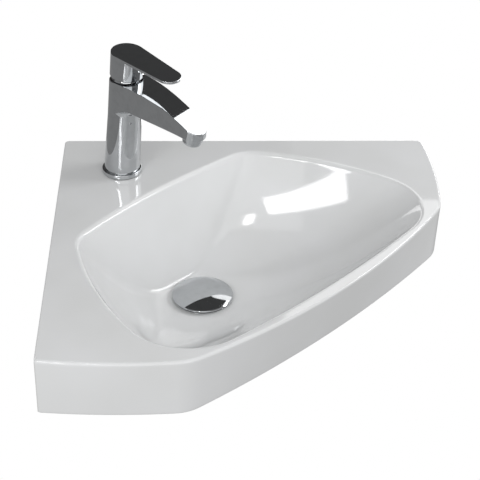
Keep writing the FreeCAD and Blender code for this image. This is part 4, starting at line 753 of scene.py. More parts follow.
@dataclass
class Ware:
    """The china: deck, apron, bowl and the hollow underneath, in one closed skin."""

    deck_size: PlanSize = PlanSize(450.0, 580.0, 452.0, 815.0, 55.0)
    foot_size: PlanSize = PlanSize(447.0, 800.0, 437.0, 1500.0, 45.0)
    end_middle: float = 88.0
    corner_radius: float = 5.0
    end_ease: float = 2.2
    apron_height: float = 68.0
    wall: float = 12.0
    free_round: float = 3.5
    wall_round: float = 1.5
    foot_round: float = 2.0
    rim_round: float = 7.0
    edge_line: float = 0.6
    depth: float = 118.5
    back: float = 166.5
    front: float = 438.0
    back_radius: float = 870.0
    front_radius: float = 1300.0
    side_radius: float = 378.5
    side_u: float = 406.9
    side_v: float = 163.1
    corners: tuple[float, float, float, float] = (40.0, 72.0, 26.0, 30.0)
    floor_back: float = 34.0
    floor_front: float = 38.0
    floor_side: float = 111.0
    front_steepness: float = 1.6
    drain_u: float = 239.0
    waste_hole: float = 23.0
    recess: float = 33.0
    recess_depth: float = 4.0
    waste_boss: Pair = (37.0, 22.0)
    tap_u: float = 103.5
    tap_hole: float = 17.5
    tap_boss: Pair = (31.0, 20.0)
    bolt_hole: float = 6.0
    bolt_boss: Pair = (17.0, 18.0)
    bolt_along: float = 330.0
    bolt_drop: float = 42.0
    sides: int = 640
    bowl_rings: int = 58
    shell_rings: int = 18
    table_rows: int = 121
    sharp: float = 38.0

    def around(self, curve: Array) -> Array:
        """Reach of a plan curve in each direction of the ring points."""
        return Polar(self.middle, curve).reach(self.angle)

    def __post_init__(self) -> None:
        """Works out the middle point, the directions of the ring points and the bowl's tables."""
        self.middle = diagonal(self.drain_u)
        deck = Polar(self.middle, self.outline(self.deck_size, 0.0, self.end_ease))
        rim = Polar(self.middle, self.bowl_curve(0.0, 0.0))
        directions = 4000
        base = np.linspace(-math.pi, math.pi, directions, endpoint=False)
        share = sum(np.interp(base, *curve.measure()) for curve in (deck, rim)) / 2.0
        self.angle = np.interp(np.linspace(share[0], share[-1], self.sides, endpoint=False), share, base)
        self.heading = unit(self.angle)
        self.deck = deck.reach(self.angle)
        self.foot = self.around(self.outline(self.foot_size, 0.0, self.end_ease))
        self.hollow_top = self.around(self.outline(self.deck_size, self.wall, 0.0))
        self.hollow_foot = self.around(self.outline(self.foot_size, self.wall, 0.0))
        self.shares = 1.0 - (1.0 - np.linspace(0.0, 1.0, self.table_rows)) ** 2
        self.inside = self.table(0.0)
        self.outside = self.table(self.wall)

    def outline(self, size: PlanSize, inset: float, ease: float) -> Array:
        """The basin from above: arcs that run into each other, mirrored across the diagonal.

        Args:
            size: reaches and radii.
            inset: distance inside the outer face.
            ease: reach of the round at the ends of the walls, none if zero.

        Returns:
            Dense points, clockwise.
        """
        end = np.array([size.end_reach - size.end_radius, -self.end_middle])
        front = diagonal(size.front_reach - size.front_radius)
        radii = (size.end_radius, size.front_radius, size.soft_radius)
        end_radius, front_radius, soft_radius = (radius - inset for radius in radii)
        reach = math.sqrt(end_radius**2 - (inset - self.end_middle) ** 2)
        wall_end = np.array([end[0] + reach, -inset])
        soft = blend_centre(front, front_radius, end, end_radius, soft_radius)
        corner = np.array([inset + self.corner_radius, -inset - self.corner_radius])
        corner_middle = corner + self.corner_radius * np.array([-1.0, 1.0]) * math.sqrt(0.5)
        corner_end = np.array([corner[0], -inset])
        along_wall = np.concatenate([line(corner_end, wall_end, 900), wall_end[None]])
        circles = [(end, end_radius), (soft, soft_radius), (front, front_radius)]
        free = chain(wall_end, circles, front + diagonal(1.0) * front_radius, (600, 300, 600))
        if ease > 0.0:
            along_wall, free = ease_corner(along_wall, wall_end, free, ease)
        corner_arc = arc(corner, self.corner_radius, corner_middle, corner_end, 60)
        right = np.concatenate([corner_arc, along_wall, free])
        return np.concatenate([right, mirrored(right)])

    def bowl_curve(self, share: float, grow: float) -> Array:
        """The bowl's inside at one share of its depth, as eight arcs.

        The back comes in by 1 - (1 - share)^(1/2) of its way to the floor, the sides by the same
        and the front by 1 - (1 - share)^(1/1.6).

        Args:
            share: share of the depth.
            grow: how far outside the inside face.

        Returns:
            Dense points.
        """
        slow = 1.0 - (1.0 - share) ** 0.5
        quick = 1.0 - (1.0 - share) ** (1.0 / self.front_steepness)
        back = self.back + (self.drain_u - self.floor_back - self.back) * slow - grow
        front = self.front + (self.drain_u + self.floor_front - self.front) * quick + grow
        side_radius = self.side_radius - self.floor_side * slow + grow
        near_radius = self.corners[0] + (self.corners[2] - self.corners[0]) * slow + grow
        far_radius = self.corners[1] + (self.corners[3] - self.corners[1]) * quick + grow
        back_radius, front_radius = self.back_radius + grow, self.front_radius + grow
        back_centre, front_centre = diagonal(back + back_radius), diagonal(front - front_radius)
        side = diagonal(self.side_u, -self.side_v)
        near = blend_centre(back_centre, back_radius, side, side_radius, near_radius)
        far = blend_centre(front_centre, front_radius, side, side_radius, far_radius)
        circles = [(back_centre, back_radius), (near, near_radius), (side, side_radius),
                   (far, far_radius), (front_centre, front_radius)]
        right = chain(diagonal(back), circles, diagonal(front), (200, 200, 400, 300, 300))
        return np.concatenate([right, mirrored(right)])

    def table(self, grow: float) -> Array:
        """Reach of the bowl for every share and direction."""
        return np.stack([self.around(self.bowl_curve(float(share), grow)) for share in self.shares])

    def read(self, table: Array, share: Array) -> Array:
        """Reaches at any shares, between the table's rows."""
        place = np.interp(share, self.shares, np.arange(len(self.shares)))
        low = np.clip(np.floor(place).astype(int), 0, len(self.shares) - 2)
        column = np.broadcast_to(np.arange(self.sides), low.shape)
        part = place - low
        return table[low, column] * (1.0 - part) + table[low + 1, column] * part

    def level(self, reach: Array | float, height: Array | float) -> Array:
        """A ring at given reaches from the middle and heights."""
        return raised(self.middle + self.heading * np.broadcast_to(reach, (self.sides,))[:, None], height)

    def hollow(self, height: Array) -> Array:
        """Reach of the apron's inner face at a height."""
        share = (-self.wall - height) / (self.apron_height - self.wall)
        return self.hollow_top + (self.hollow_foot - self.hollow_top) * share

    def drain_rings(self) -> list[Array]:
        """Waste hole, recess for the flange and the flat floor, from below up."""
        floor = -self.depth
        low = floor - self.recess_depth
        base = floor - self.waste_boss[1]
        profile = rounded([(self.waste_hole, base, 0.0), (self.waste_hole, low, 0.0),
                           (self.recess, low, 0.4), (self.recess, floor, 0.7),
                           (self.recess + 1.0, floor, 0.0)], 4)
        return [self.level(reach, height) for reach, height in profile]

    def bowl_and_rim(self) -> list[Array]:
        """Bowl wall from the floor up, then the rim rolled over onto the deck.

        The wall's rings are even in the root of what is left of the depth.  The rim is a conic
        between a point on the wall and one on the deck, each a tangent's length of the round
        away from the sharp rim.
        """
        rim = self.level(self.inside[0], 0.0)
        normal = outward(rim[:, :2])
        step = 6
        fall = self.depth * self.shares[step]
        square = np.abs(np.einsum("ij,ij->i", normal, self.heading))
        lean = (self.inside[0] - self.inside[step]) / fall * square
        turn = math.pi / 2.0 - np.arctan(lean)
        reach = self.rim_round * np.tan(turn / 2.0)
        drop = reach / np.sqrt(1.0 + lean**2)
        start = 1.0 - np.sqrt(1.0 - drop / self.depth)
        part = 1.0 + (start - 1.0) * np.arange(self.bowl_rings + 1)[:, None] / self.bowl_rings
        share = 1.0 - (1.0 - part) ** 2
        rings = [self.level(r, -self.depth * s) for r, s in zip(self.read(self.inside, share), share)]
        on_deck = rim.copy()
        on_deck[:, :2] += normal * reach[:, None]
        return rings + list(conic(rings[-1], rim, on_deck, 10, np.cos(turn / 2.0)[:, None])[1:])

    def deck_and_apron(self, last: Array) -> list[Array]:
        """Deck outwards, its rounded edge, the apron down to the foot and the foot's round."""
        edge = self.level(self.deck, 0.0)
        near, corner = 0.02, 10.0
        at_corner = edge[:, 0] - edge[:, 1] < corner
        on_wall = ((edge[:, 0] < near) | (edge[:, 1] > -near) | at_corner).astype(float)
        kernel = np.ones(5) / 5.0
        soft = np.convolve(np.concatenate([on_wall[-2:], on_wall, on_wall[:2]]), kernel, "valid")
        round_off = self.free_round + (self.wall_round - self.free_round) * soft
        inner_reach = self.inset_reach(self.deck_size, (self.free_round, self.wall_round), soft)
        inner = self.level(inner_reach, 0.0)
        rings = spread(last, inner, (0.015, 0.3, 0.65))
        rings.append(self.level(inner_reach - self.edge_line, 0.0))
        share = round_off / self.apron_height
        lower = self.level(self.deck + (self.foot - self.deck) * share, -round_off)
        rings.extend(conic(inner, edge, lower, 8))
        foot = self.level(self.foot, -self.apron_height)
        foot_round = self.foot_round * (1.0 - 0.7 * soft)
        above_reach = self.foot + (self.deck - self.foot) * foot_round / self.apron_height
        above = self.level(above_reach, foot_round - self.apron_height)
        under = self.inset_reach(self.foot_size, (self.foot_round, 0.3 * self.foot_round), soft)
        rings.extend(spread(lower, above))
        rings.extend(conic(above, foot, self.level(under, -self.apron_height), 5))
        return rings

    def inset_reach(self, size: PlanSize, insets: Pair, soft: Array) -> Array:
        """Reach of an outline inset by one round on its free sides and by another at the walls.

        Args:
            size: reaches and radii of the outline.
            insets: inset on the free sides and along the walls.
            soft: share of the second at each direction.

        Returns:
            One reach for each direction of the rings.
        """
        free, wall = (self.around(self.outline(size, inset, self.end_ease)) for inset in insets)
        return free + (wall - free) * soft

    def underside(self) -> list[Array]:
        """Inside of the apron, underside of the deck, outside of the bowl and the waste boss.

        The shell of the bowl stands one wall outside the bowl and its depth is one wall more;
        where it runs into the apron the inner face ends at their meeting.
        """
        depth = self.depth + self.wall
        base = self.wall / depth
        deepest, steps = 0.6, 400
        grid = np.linspace(base, deepest, steps)[:, None] * np.ones(self.sides)
        gap = self.read(self.outside, grid) - self.hollow(-depth * grid)
        first = np.argmax(gap <= 0.0, axis=0)
        meet = grid[first, np.arange(self.sides)]
        height = -depth * meet
        bottom, bevel, middle = -self.apron_height, 1.2, 0.35
        bevels = ((bevel, 0.0), (middle, middle), (0.0, bevel))
        rings = [self.level(self.hollow_foot + out, bottom + rise) for out, rise in bevels]
        for part in (0.3, 0.65, 1.0):
            z = bottom + bevel + (height - bottom - bevel) * part
            rings.append(self.level(self.hollow(z), z))
        reaches = spread(self.hollow(height), self.read(self.outside, meet), (0.33, 0.66, 1.0))
        rings.extend(self.level(reach, height) for reach in reaches)
        start = 1.0 - np.sqrt(1.0 - meet)
        for part in np.linspace(0.0, 1.0, self.shell_rings + 1)[1:]:
            share = 1.0 - (1.0 - (start + (1.0 - start) * part)) ** 2
            rings.append(self.level(self.read(self.outside, share), -depth * share))
        boss, low = self.waste_boss[0], -self.depth - self.waste_boss[1]
        cone = 1.5
        profile = rounded([(boss + cone, -depth, 0.0), (boss, -depth - cone, 0.8), (boss, low, 1.2),
                           (self.waste_hole + 1.0, low, 0.0)], 4)
        return rings + [self.level(reach, z) for reach, z in profile]

    def build(self) -> Thing:
        """Joins the rings and adds bosses and holes."""
        rings = self.drain_rings() + self.bowl_and_rim()
        rings += self.deck_and_apron(rings[-1])
        rings += self.underside()
        ware = weld(skin("basin_ware", np.stack(rings), (None, None), self.sharp), self.sharp)
        tap = upright_axis(self.tap_u)
        along, drop = self.bolt_along, -self.bolt_drop
        bolts = [Axis((along, 0.0, drop), (1.0, 0.0, 0.0), (0.0, 0.0, 1.0), (0.0, -1.0, 0.0)),
                 Axis((0.0, -along, drop), (0.0, 1.0, 0.0), (0.0, 0.0, 1.0), (1.0, 0.0, 0.0))]
        radius, low = self.tap_boss
        reach, length = self.bolt_boss
        sink, past_tap, past_bolt = 6.0, 5.0, 3.0
        combine(ware, cylinder("tap_boss", tap, radius, -sink, -low), "UNION", self.sharp)
        for bolt in bolts:
            hole = cylinder("bolt_hole", bolt, self.bolt_hole, -past_bolt, length + past_bolt)
            combine(ware, cylinder("bolt_boss", bolt, reach, sink, length), "UNION", self.sharp)
            combine(ware, hole, "DIFFERENCE", self.sharp)
        hole = cylinder("tap_hole", tap, self.tap_hole, past_tap, -low - past_tap)
        combine(ware, hole, "DIFFERENCE", self.sharp)
        return ware

    def dress(self, ware: Thing, palette: Palette, bisque: Material) -> None:
        """Glaze all over, with the ground faces against the walls and under the foot left bare."""
        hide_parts("basin")
        palette.dress(ware, Slot.GLAZE, "basin_set")
        ware.data.materials.append(bisque)
        count = len(ware.data.polygons)
        normal, centre = np.empty(count * 3), np.empty(count * 3)
        ware.data.polygons.foreach_get("normal", normal)
        ware.data.polygons.foreach_get("center", centre)
        normal, centre = normal.reshape(-1, 3), centre.reshape(-1, 3) / MM
        facing, near, level = 0.9, 0.3, 0.4
        low = -self.depth - self.waste_boss[1]
        back = (normal[:, 1] > facing) & (centre[:, 1] > -near)
        left = (normal[:, 0] < -facing) & (centre[:, 0] < near)
        foot = (normal[:, 2] < -facing) & (np.abs(centre[:, 2] + self.apron_height) < level)
        seat = (normal[:, 2] < -facing) & (centre[:, 2] < low + level)
        ware.data.polygons.foreach_set("material_index", (back | left | foot | seat).astype(np.int32))
        ware.data.update()


# --- Mixer ---


@dataclass
class Mixer:
    """Single-lever mixer: leaning column with its spout, lever, dome ring, base ring, aerator."""

    reach: float = 103.5
    lean: float = 5.8
    foot_radius: float = 21.4
    column: float = 19.8
    foot_height: float = 8.4
    taper_end: float = 80.0
    arch: Triple = (240.0, 37.0, 132.7)
    tip: Pair = (110.8, 14.2)
    belly: Triple = (99.8, 107.2, 106.0)
    flare: float = 13.0
    belly_round: float = 0.5
    arch_round: float = 0.8
    nut_bore: Pair = (18.5, 117.0)
    seat_bore: Pair = (17.8, 102.0)
    plug_hole: tuple[float, float, float, float] = (1.5, 79.5, -24.0, 5.0)
    nozzle: Triple = (109.4, 98.8, 9.3)
    nozzle_radius: float = 12.1
    nozzle_bore: float = 10.3
    nozzle_lip: float = 4.6
    nozzle_depth: float = 14.2
    cut_past: float = 2.0
    cap: float = 19.5
    cap_top: float = 164.0
    cap_skirt: float = 133.8
    plate: float = 3.0
    fillet: float = 0.8
    blade: Pair = (66.3, 14.5)
    cavity: Pair = (16.8, 149.0)
    index: Triple = (3.0, 153.5, 2.4)
    dome: tuple[float, float, float, float, float] = (17.6, 1.4, 9.5, 124.0, 122.4)
    sides: int = 360
    turn_share: float = 0.4
    sharp: Pair = (36.0, 34.0)

    def __post_init__(self) -> None:
        """Works out the leaning axis and the axis of the nozzle."""
        self.axis = upright_axis(self.reach).tilted(0.0, 0.0, self.lean)
        self.spray = self.axis.tilted(*self.nozzle)

    def half_width(self, s: Array) -> Array:
        """Half width of the spout: an even cosine swing from the column's side to the tip's."""
        share = (1.0 + np.cos(math.pi * s / self.tip[0])) / 2.0
        return self.tip[1] + (self.column - self.tip[1]) * share

    def arch_height(self, s: Array) -> Array:
        """Height of the arched top face, one great arc along s."""
        radius, crown_s, crown_t = self.arch
        return crown_t - radius + np.sqrt(radius**2 - (s - crown_s) ** 2)

    def belly_height(self, s: Array) -> Array:
        """Height of the spout's underside: a slope that ends level under the nozzle."""
        return np.interp(s, [0.0, self.belly[2]], self.belly[:2])

    def spout_plan(self) -> Array:
        """Column and spout from above, anticlockwise: nose, side, back of the column, side."""
        length, half = self.tip
        count = 500
        s = np.linspace(0.0, length, count, endpoint=False)
        nose = np.linspace(-math.pi / 2, math.pi / 2, 300, endpoint=False)
        back = np.linspace(math.pi / 2, 1.5 * math.pi, 400, endpoint=False)
        near = np.stack([s, self.half_width(s)], 1)
        dense = np.concatenate([
            np.array([length, 0.0]) + half * unit(nose),
            (near + [length / count, 0.0])[::-1],
            self.column * unit(back),
            near * [1.0, -1.0],
        ])
        return resample(dense, self.sides, self.turn_share)

    def column_rings(self, direction: Array) -> list[Array]:
        """Foot, cut level above the base ring, and the column's slight taper."""
        lean = math.radians(self.lean)
        foot = (self.foot_height + self.foot_radius * direction[:, 0] * math.sin(lean)) / math.cos(lean)
        rings = []
        edge = 0.4
        inset = ((self.foot_radius - 12.0, 0.0), (edge, 0.0), (0.1, 0.1), (0.0, edge))
        for radius, rise in ((self.foot_radius - step, rise) for step, rise in inset):
            shift = (radius - self.foot_radius) * direction[:, 0] * math.tan(lean)
            rings.append(raised(direction * radius, foot + shift + rise))
        for share in np.linspace(0.1, 1.0, 8):
            radius = self.foot_radius + (self.column - self.foot_radius) * share
            height = foot + edge + (self.taper_end - foot - edge) * share
            rings.append(raised(direction * radius, height))
        return rings

    def flare_rings(self, plan: Array, direction: Array) -> list[Array]:
        """From the column out under the spout.

        At a distance q from the axis, q = c + f - f cos a, the flare stands f (1 - sin a) below
        the spout's underside, with c the column's radius and f that of the flare.  Beyond it
        the underside runs straight out to the plan's edge.  Each run is cut into equal steps.
        """
        far = np.linalg.norm(plan, axis=1)
        end = np.arccos(np.clip((self.column + self.flare - far) / self.flare, 0.0, 1.0))
        bent, straight, even_rings = 25, 39, 44
        angle = end * np.linspace(0.0, 1.0, bent)[:, None]
        reach = self.column + self.flare * (1.0 - np.cos(angle))
        drop = self.flare * (1.0 - np.sin(angle))
        span = np.maximum(far - reach[-1], 0.0)
        out = reach[-1] + span * np.linspace(0.0, 1.0, straight + 1)[1:, None]
        reach, drop = np.concatenate([reach, out]), np.concatenate([drop, np.zeros_like(out)])
        drop[bent:] = np.where(span > 0.0, drop[bent:], drop[bent - 1])
        height = self.belly_height(reach * direction[:, 0]) - drop
        step = np.hypot(np.diff(reach, axis=0), np.diff(height, axis=0)) + 1e-6
        along = np.concatenate([np.zeros((1, len(plan))), np.cumsum(step, axis=0)])
        even = np.linspace(0.0, 1.0, even_rings)
        rings = np.empty((even_rings, len(plan), 3))
        for column in range(len(plan)):
            place = even * along[-1, column]
            radius = np.interp(place, along[:, column], reach[:, column])
            rings[:, column, :2] = direction[column] * radius[:, None]
            rings[:, column, 2] = np.interp(place, along[:, column], height[:, column])
        return list(rings)

    def body(self) -> Thing:
        """Column, spout and the bore for the cartridge in one skin, then the nozzle's collar."""
        plan = self.spout_plan()
        normal = outward(plan)
        direction = plan / np.linalg.norm(plan, axis=1, keepdims=True)
        rings = self.column_rings(direction)
        flare = self.flare_rings(plan, direction)
        onset = 6.0
        free = np.clip((plan[:, 0] - self.column) / onset, 0.0, 1.0)
        edge = flare[-1]
        inner = edge.copy()
        inner[:, :2] -= normal * (self.belly_round * free)[:, None]
        upper = edge + UP * (self.belly_round * free)[:, None]
        rings += flare[:-1] + list(conic(inner, edge, upper, 4))
        top = raised(plan, self.arch_height(plan[:, 0]))
        below = top - [0.0, 0.0, self.arch_round]
        within = plan - normal * self.arch_round
        over = raised(within, self.arch_height(within[:, 0]))
        rings += spread(upper, below) + list(conic(below, top, over, 7))
        bore = direction * self.nut_bore[0]
        for flat in spread(within, bore, tuple(np.linspace(0.0, 1.0, 26)[1:])):
            rings.append(raised(flat, self.arch_height(flat[:, 0])))
        (seat, seat_height), nut_height = self.seat_bore, self.nut_bore[1]
        wall = direction * seat
        for circle, height in ((bore, nut_height), (wall, nut_height), (wall, seat_height)):
            rings.append(raised(circle, height))
        ends = (self.axis.at(self.foot_height), self.axis.at(seat_height))
        sharp = self.sharp[0]
        body = shell("mixer_body", self.axis, rings, ends, sharp)
        lip, radius, bevel, sunk = self.nozzle_lip, self.nozzle_radius, 0.3, 16.0
        collar = [(0.0, lip), (radius - bevel, lip), (radius, lip + bevel), (radius, sunk), (0.0, sunk)]
        combine(body, lathe("collar", self.spray, np.array(collar)), "UNION", sharp)
        bore = cylinder("nozzle_bore", self.spray, self.nozzle_bore, 0.0, self.nozzle_depth, 160)
        combine(body, bore, "DIFFERENCE", sharp)
        radius, height, turn, depth = self.plug_hole
        start, end = self.column - depth, self.column + self.cut_past
        axis = self.across(math.sin(math.radians(turn)) * self.column, height)
        combine(body, cylinder("plug_hole", axis, radius, start, end, 48), "DIFFERENCE", sharp)
        return body

    def across(self, y: float, height: float) -> Axis:
        """An axis along s at a side distance and height."""
        origin = tuple(self.axis.at(height, y=y))
        return Axis(origin, self.axis.along_y, self.axis.along_t, self.axis.along_s)

    def handle_plan(self) -> Array:
        """Lever from above: round cap and round tip joined by straight tangents."""
        reach, tip = self.blade
        turn = math.acos((self.cap - tip) / reach)
        nose = np.linspace(-turn, turn, 400, endpoint=False)
        back = np.linspace(turn, TURN - turn, 600, endpoint=False)
        round_tip = np.array([reach, 0.0]) + tip * unit(nose)
        round_cap = self.cap * unit(back)
        ahead = line(round_tip[-1], round_cap[0], 400)[1:]
        home = line(round_cap[-1], round_tip[0], 400)[1:]
        return resample(np.concatenate([round_tip, ahead, round_cap, home]), self.sides, self.turn_share)

    def handle(self) -> Thing:
        """Flat blade that grows out of the cap, hollow below, with the hole for the index."""
        plan = self.handle_plan()
        normal = outward(plan)
        direction = plan / np.linalg.norm(plan, axis=1, keepdims=True)
        middle = np.array([self.blade[0] / 2.0, 0.0])
        top, under = self.cap_top, self.cap_top - self.plate
        soft, lower = 0.7, 0.3
        flat = plan - normal * soft
        rings = [raised(middle + (flat - middle) * share, top) for share in (0.3, 0.6, 0.85, 0.97)]
        rings += list(conic(raised(flat, top), raised(plan, top), raised(plan, top - soft), 8))
        onset = 2.0
        free = np.clip((np.linalg.norm(plan, axis=1) - self.cap) / onset, 0.0, 1.0)[:, None]
        edge = raised(plan, under)
        inner = raised(plan - normal * lower * free, under)
        rings += [raised(plan, top - 2.0 * soft)] + list(conic(edge + UP * lower * free, edge, inner, 3))
        skirt = raised(direction * self.cap, under)
        gap = np.linalg.norm(skirt - inner, axis=1, keepdims=True)
        fillet = np.minimum(self.fillet, gap)
        before = skirt + (inner - skirt) * fillet / np.maximum(gap, 1e-6)
        rings += spread(inner, before, (0.1, 0.35, 0.65, 0.9))
        rings += list(conic(before, skirt, skirt - UP * fillet, 5))
        cavity, roof = self.cavity
        profile = [(self.cap, under - 1.2, 0.0), (self.cap, self.cap_skirt, 1.1),
                   (cavity, self.cap_skirt, 0.2), (cavity, roof, 0.0)]
        rings += [raised(direction * radius, height) for radius, height in rounded(profile, 6)]
        ends = (self.axis.at(top, *middle), self.axis.at(roof))
        sharp = self.sharp[1]
        handle = shell("lever", self.axis, rings, ends, sharp)
        radius, height, depth = self.index
        start, end = -self.cap - self.cut_past, depth - self.cap
        hole = cylinder("index_hole", self.across(0.0, height), radius, start, end, 64)
        combine(handle, hole, "DIFFERENCE", sharp)
        return handle

    def dome_ring(self) -> Thing:
        """Thin spherical shell that closes the gap under the lever."""
        radius, wall, opening, centre, base = self.dome
        inner = radius - wall
        outside = np.linspace(0.0, math.acos(opening / radius), 24)
        inside = np.linspace(math.acos(opening / inner), 0.0, 20)
        profile = [(inner, base), (radius, base)]
        for size, turns in ((radius, outside), (inner, inside)):
            profile += [(size * math.cos(a), centre + size * math.sin(a)) for a in turns]
        return lathe("dome", self.axis, np.array(profile))

    def base_ring(self) -> Thing:
        """Flat ring under the column with a rounded shoulder and the dark groove above."""
        (bore, groove, rim), (low, shoulder, top) = (15.4, 20.4, 23.5), (0.9, 6.0, 8.4)
        profile = [(bore, low, 0.0), (rim, low, 0.2), (rim, shoulder, 0.8),
                   (groove, shoulder, 0.2), (groove, top, 0.1), (bore, top, 0.0)]
        return lathe("base_ring", upright_axis(self.reach), rounded(profile, 6))

    def aerator(self) -> Thing:
        """Housing of the aerator with its inturned lip."""
        mouth, bore, shank, rim = 8.5, 9.2, 10.2, 11.05
        lip, collar, top = 1.2, 4.6, 12.0
        profile = [(mouth, lip, 0.0), (mouth, 0.0, 0.3), (rim, 0.0, 0.5), (rim, collar, 0.15),
                   (shank, collar, 0.1), (shank, top, 0.2), (bore, top, 0.2), (bore, lip, 0.0)]
        return lathe("aerator_shell", self.spray, rounded(profile, 5))

    def build(self, palette: Palette) -> None:
        """Makes and dresses the plated pieces."""
        made = {
            "tap_body": self.body(), "lever_handle": self.handle(), "dome_ring": self.dome_ring(),
            "tap_base_ring": self.base_ring(), "aerator_housing": self.aerator(),
        }
        for node, piece in made.items():
            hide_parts(node)
            palette.dress(piece, Slot.CHROME, "lever" if node == "lever_handle" else "basin_set")


# --- Waste ---


@dataclass
class Waste:
    """Click waste: domed cap, flange with its threaded tail, and the backnut."""

    reach: float = 239.0
    floor: float = -118.5
    cap_radius: float = 36.25
    cap_low: float = 3.0
    cap_edge: float = 2.2
    cap_rise: float = 3.2
    cap_chamfer: float = 0.9
    cap_boss: Pair = (8.0, 5.0)
    flange: Triple = (32.4, -0.5, -3.0)
    throat: Pair = (20.4, 3.5)
    tail: Pair = (20.95, 18.2)
    tail_low: float = -79.0
    thread_top: float = -39.0
    relief: float = 0.3
    pitch: float = 2.3
    thread_depth: float = 0.9
    web: Pair = (-16.5, -22.5)
    window: Triple = (11.6, 17.2, 34.0)
    barrel: float = 8.45
    nut: tuple[float, float, float, float] = (20.96, 29.5, -37.0, -27.0)
    scallop: float = 3.2
    sides: int = 192

    def __post_init__(self) -> None:
        """Works out the axis and the directions of the ring points."""
        self.axis = upright_axis(self.reach, self.floor)
        self.angle = np.arange(self.sides) / self.sides * TURN
        self.direction = unit(self.angle)

    def ring(self, radius: Array | float, height: Array | float) -> Array:
        """A ring about the axis."""
        return raised(self.direction * np.broadcast_to(radius, (self.sides,))[:, None], height)

    def cap(self) -> Thing:
        """Domed cap: the crown is a shallow sphere that meets a narrow bevel at the rim."""
        shoulder = self.cap_radius - self.cap_chamfer
        rim, crown = self.cap_low + self.cap_edge, self.cap_low + self.cap_edge + self.cap_rise
        sphere = (shoulder**2 + self.cap_rise**2) / (2.0 * self.cap_rise)
        (radius, depth), wide, low = self.cap_boss, self.cap_radius, self.cap_low
        under = rounded([(0.0, low - depth, 0.0), (radius, low - depth, 0.5), (radius, low, 0.4),
                         (wide, low, 0.6), (wide, rim - self.cap_chamfer, 0.15), (shoulder, rim, 0.0)], 4)
        reach = shoulder * np.cos(np.linspace(0.0, math.pi / 2.0, 30))[1:]
        top = np.stack([reach, crown - sphere + np.sqrt(sphere**2 - reach**2)], 1)
        top[-1, 0] = 0.0
        return lathe("cap", self.axis, np.concatenate([under, top]), 192, 30.0)

    def tube(self) -> Thing:
        """Flange and tail; the thread's ridges follow r = R - a |sin(pi (z / pitch - turn))|."""
        outer, bore = self.tail
        flange, top, low = self.flange
        throat, depth = self.throat
        shank, end, bevel, run_out = outer - self.relief, self.tail_low, 0.3, 1.5
        head = rounded([(bore, top - depth, 0.0), (throat, top, 0.6), (flange, top, 0.8),
                        (flange, low, 0.2), (shank, low, 0.0)], 5)
        rings = [self.ring(radius, z) for radius, z in head]
        rings += [self.ring(shank, z) for z in (low - 0.5, self.thread_top + bevel)]
        for z in np.arange(self.thread_top, end + 2.0 * bevel, -self.pitch / 9.0):
            fade = min(1.0, (self.thread_top - z) / run_out, (z - end - bevel) / run_out)
            ridge = np.abs(np.sin(math.pi * (z / self.pitch - self.angle / TURN)))
            rings.append(self.ring(outer - 0.02 - self.thread_depth * max(fade, 0.0) * ridge, z))
        foot = ((outer - 0.5, end), (bore + bevel, end), (bore, end + bevel))
        rings += [self.ring(radius, z) for radius, z in foot]
        return shell("flange_and_tail", self.axis, rings, (None, None), 36.0)

    def spider(self) -> Thing:
        """Web across the throat that carries the click cartridge, with four quarter windows."""
        (top, low), rim = self.web, self.tail[1] + 0.1
        profile = [(self.barrel, low, 0.0), (rim, low, 0.0), (rim, top, 0.0), (self.barrel, top, 0.0)]
        web = lathe("web", self.axis, rounded(profile), 128)
        inner, outer, half = self.window
        swing = np.radians(np.linspace(-half, half, 24))
        for quarter in range(4):
            ahead = quarter * math.pi / 2.0
            edge = unit(swing + ahead)
            edge = np.concatenate([outer * edge, inner * edge[::-1]])
            middle = (inner + outer) / 2.0 * np.array([math.cos(ahead), math.sin(ahead)])
            levels = (low - 1.0, top + 1.0)
            rings = np.stack([np.concatenate([edge, np.full((len(edge), 1), z)], 1) for z in levels])
            poles = tuple(self.axis.at(z, *middle) for z in levels)
            combine(web, skin("window", self.axis.place(rings), poles), "DIFFERENCE")
        return web

    def backnut(self) -> Thing:
        """Nut with eight finger scallops: the rim is the nearer of the round and the scallops.

        With g the distance of a scallop's middle from the axis, s its radius and d the angle to
        it, its near side lies at g cos d - sqrt(s^2 - g^2 sin^2 d).
        """
        bore, radius, low, high = self.nut
        gap = radius + 0.3 * self.scallop
        away = (self.angle + math.pi / 8.0) % (math.pi / 4.0) - math.pi / 8.0
        root = np.sqrt(np.maximum(self.scallop**2 - (gap * np.sin(away)) ** 2, 0.0))
        hit = gap * np.abs(np.sin(away)) < self.scallop
        rim = np.where(hit, np.minimum(radius, gap * np.cos(away) - root), radius)
        lead, edge = 0.4, 0.6
        half = ((bore, lead), (bore + lead, 0.0), (rim - edge, 0.0), (rim, edge))
        rings = [self.ring(reach, low + rise) for reach, rise in half]
        rings += [self.ring(reach, high - rise) for reach, rise in half[::-1]]
        return skin("backnut", self.axis.place(np.stack(rings)), (None, None), 30.0)

    def build(self, palette: Palette) -> None:
        """Makes and dresses the pieces."""
        made = (
            (self.cap(), "waste_cap", Slot.CHROME, "waste_plug"),
            (self.tube(), "waste_flange", Slot.CHROME, "basin_set"),
            (self.spider(), "waste_flange", Slot.CHROME, "basin_set"),
            (self.backnut(), "waste_backnut", Slot.BRASS, "basin_set"),
        )
        for piece, node, slot, body in made:
            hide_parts(node)
            palette.dress(piece, slot, body)


# --- Parts shown with their own shape ---


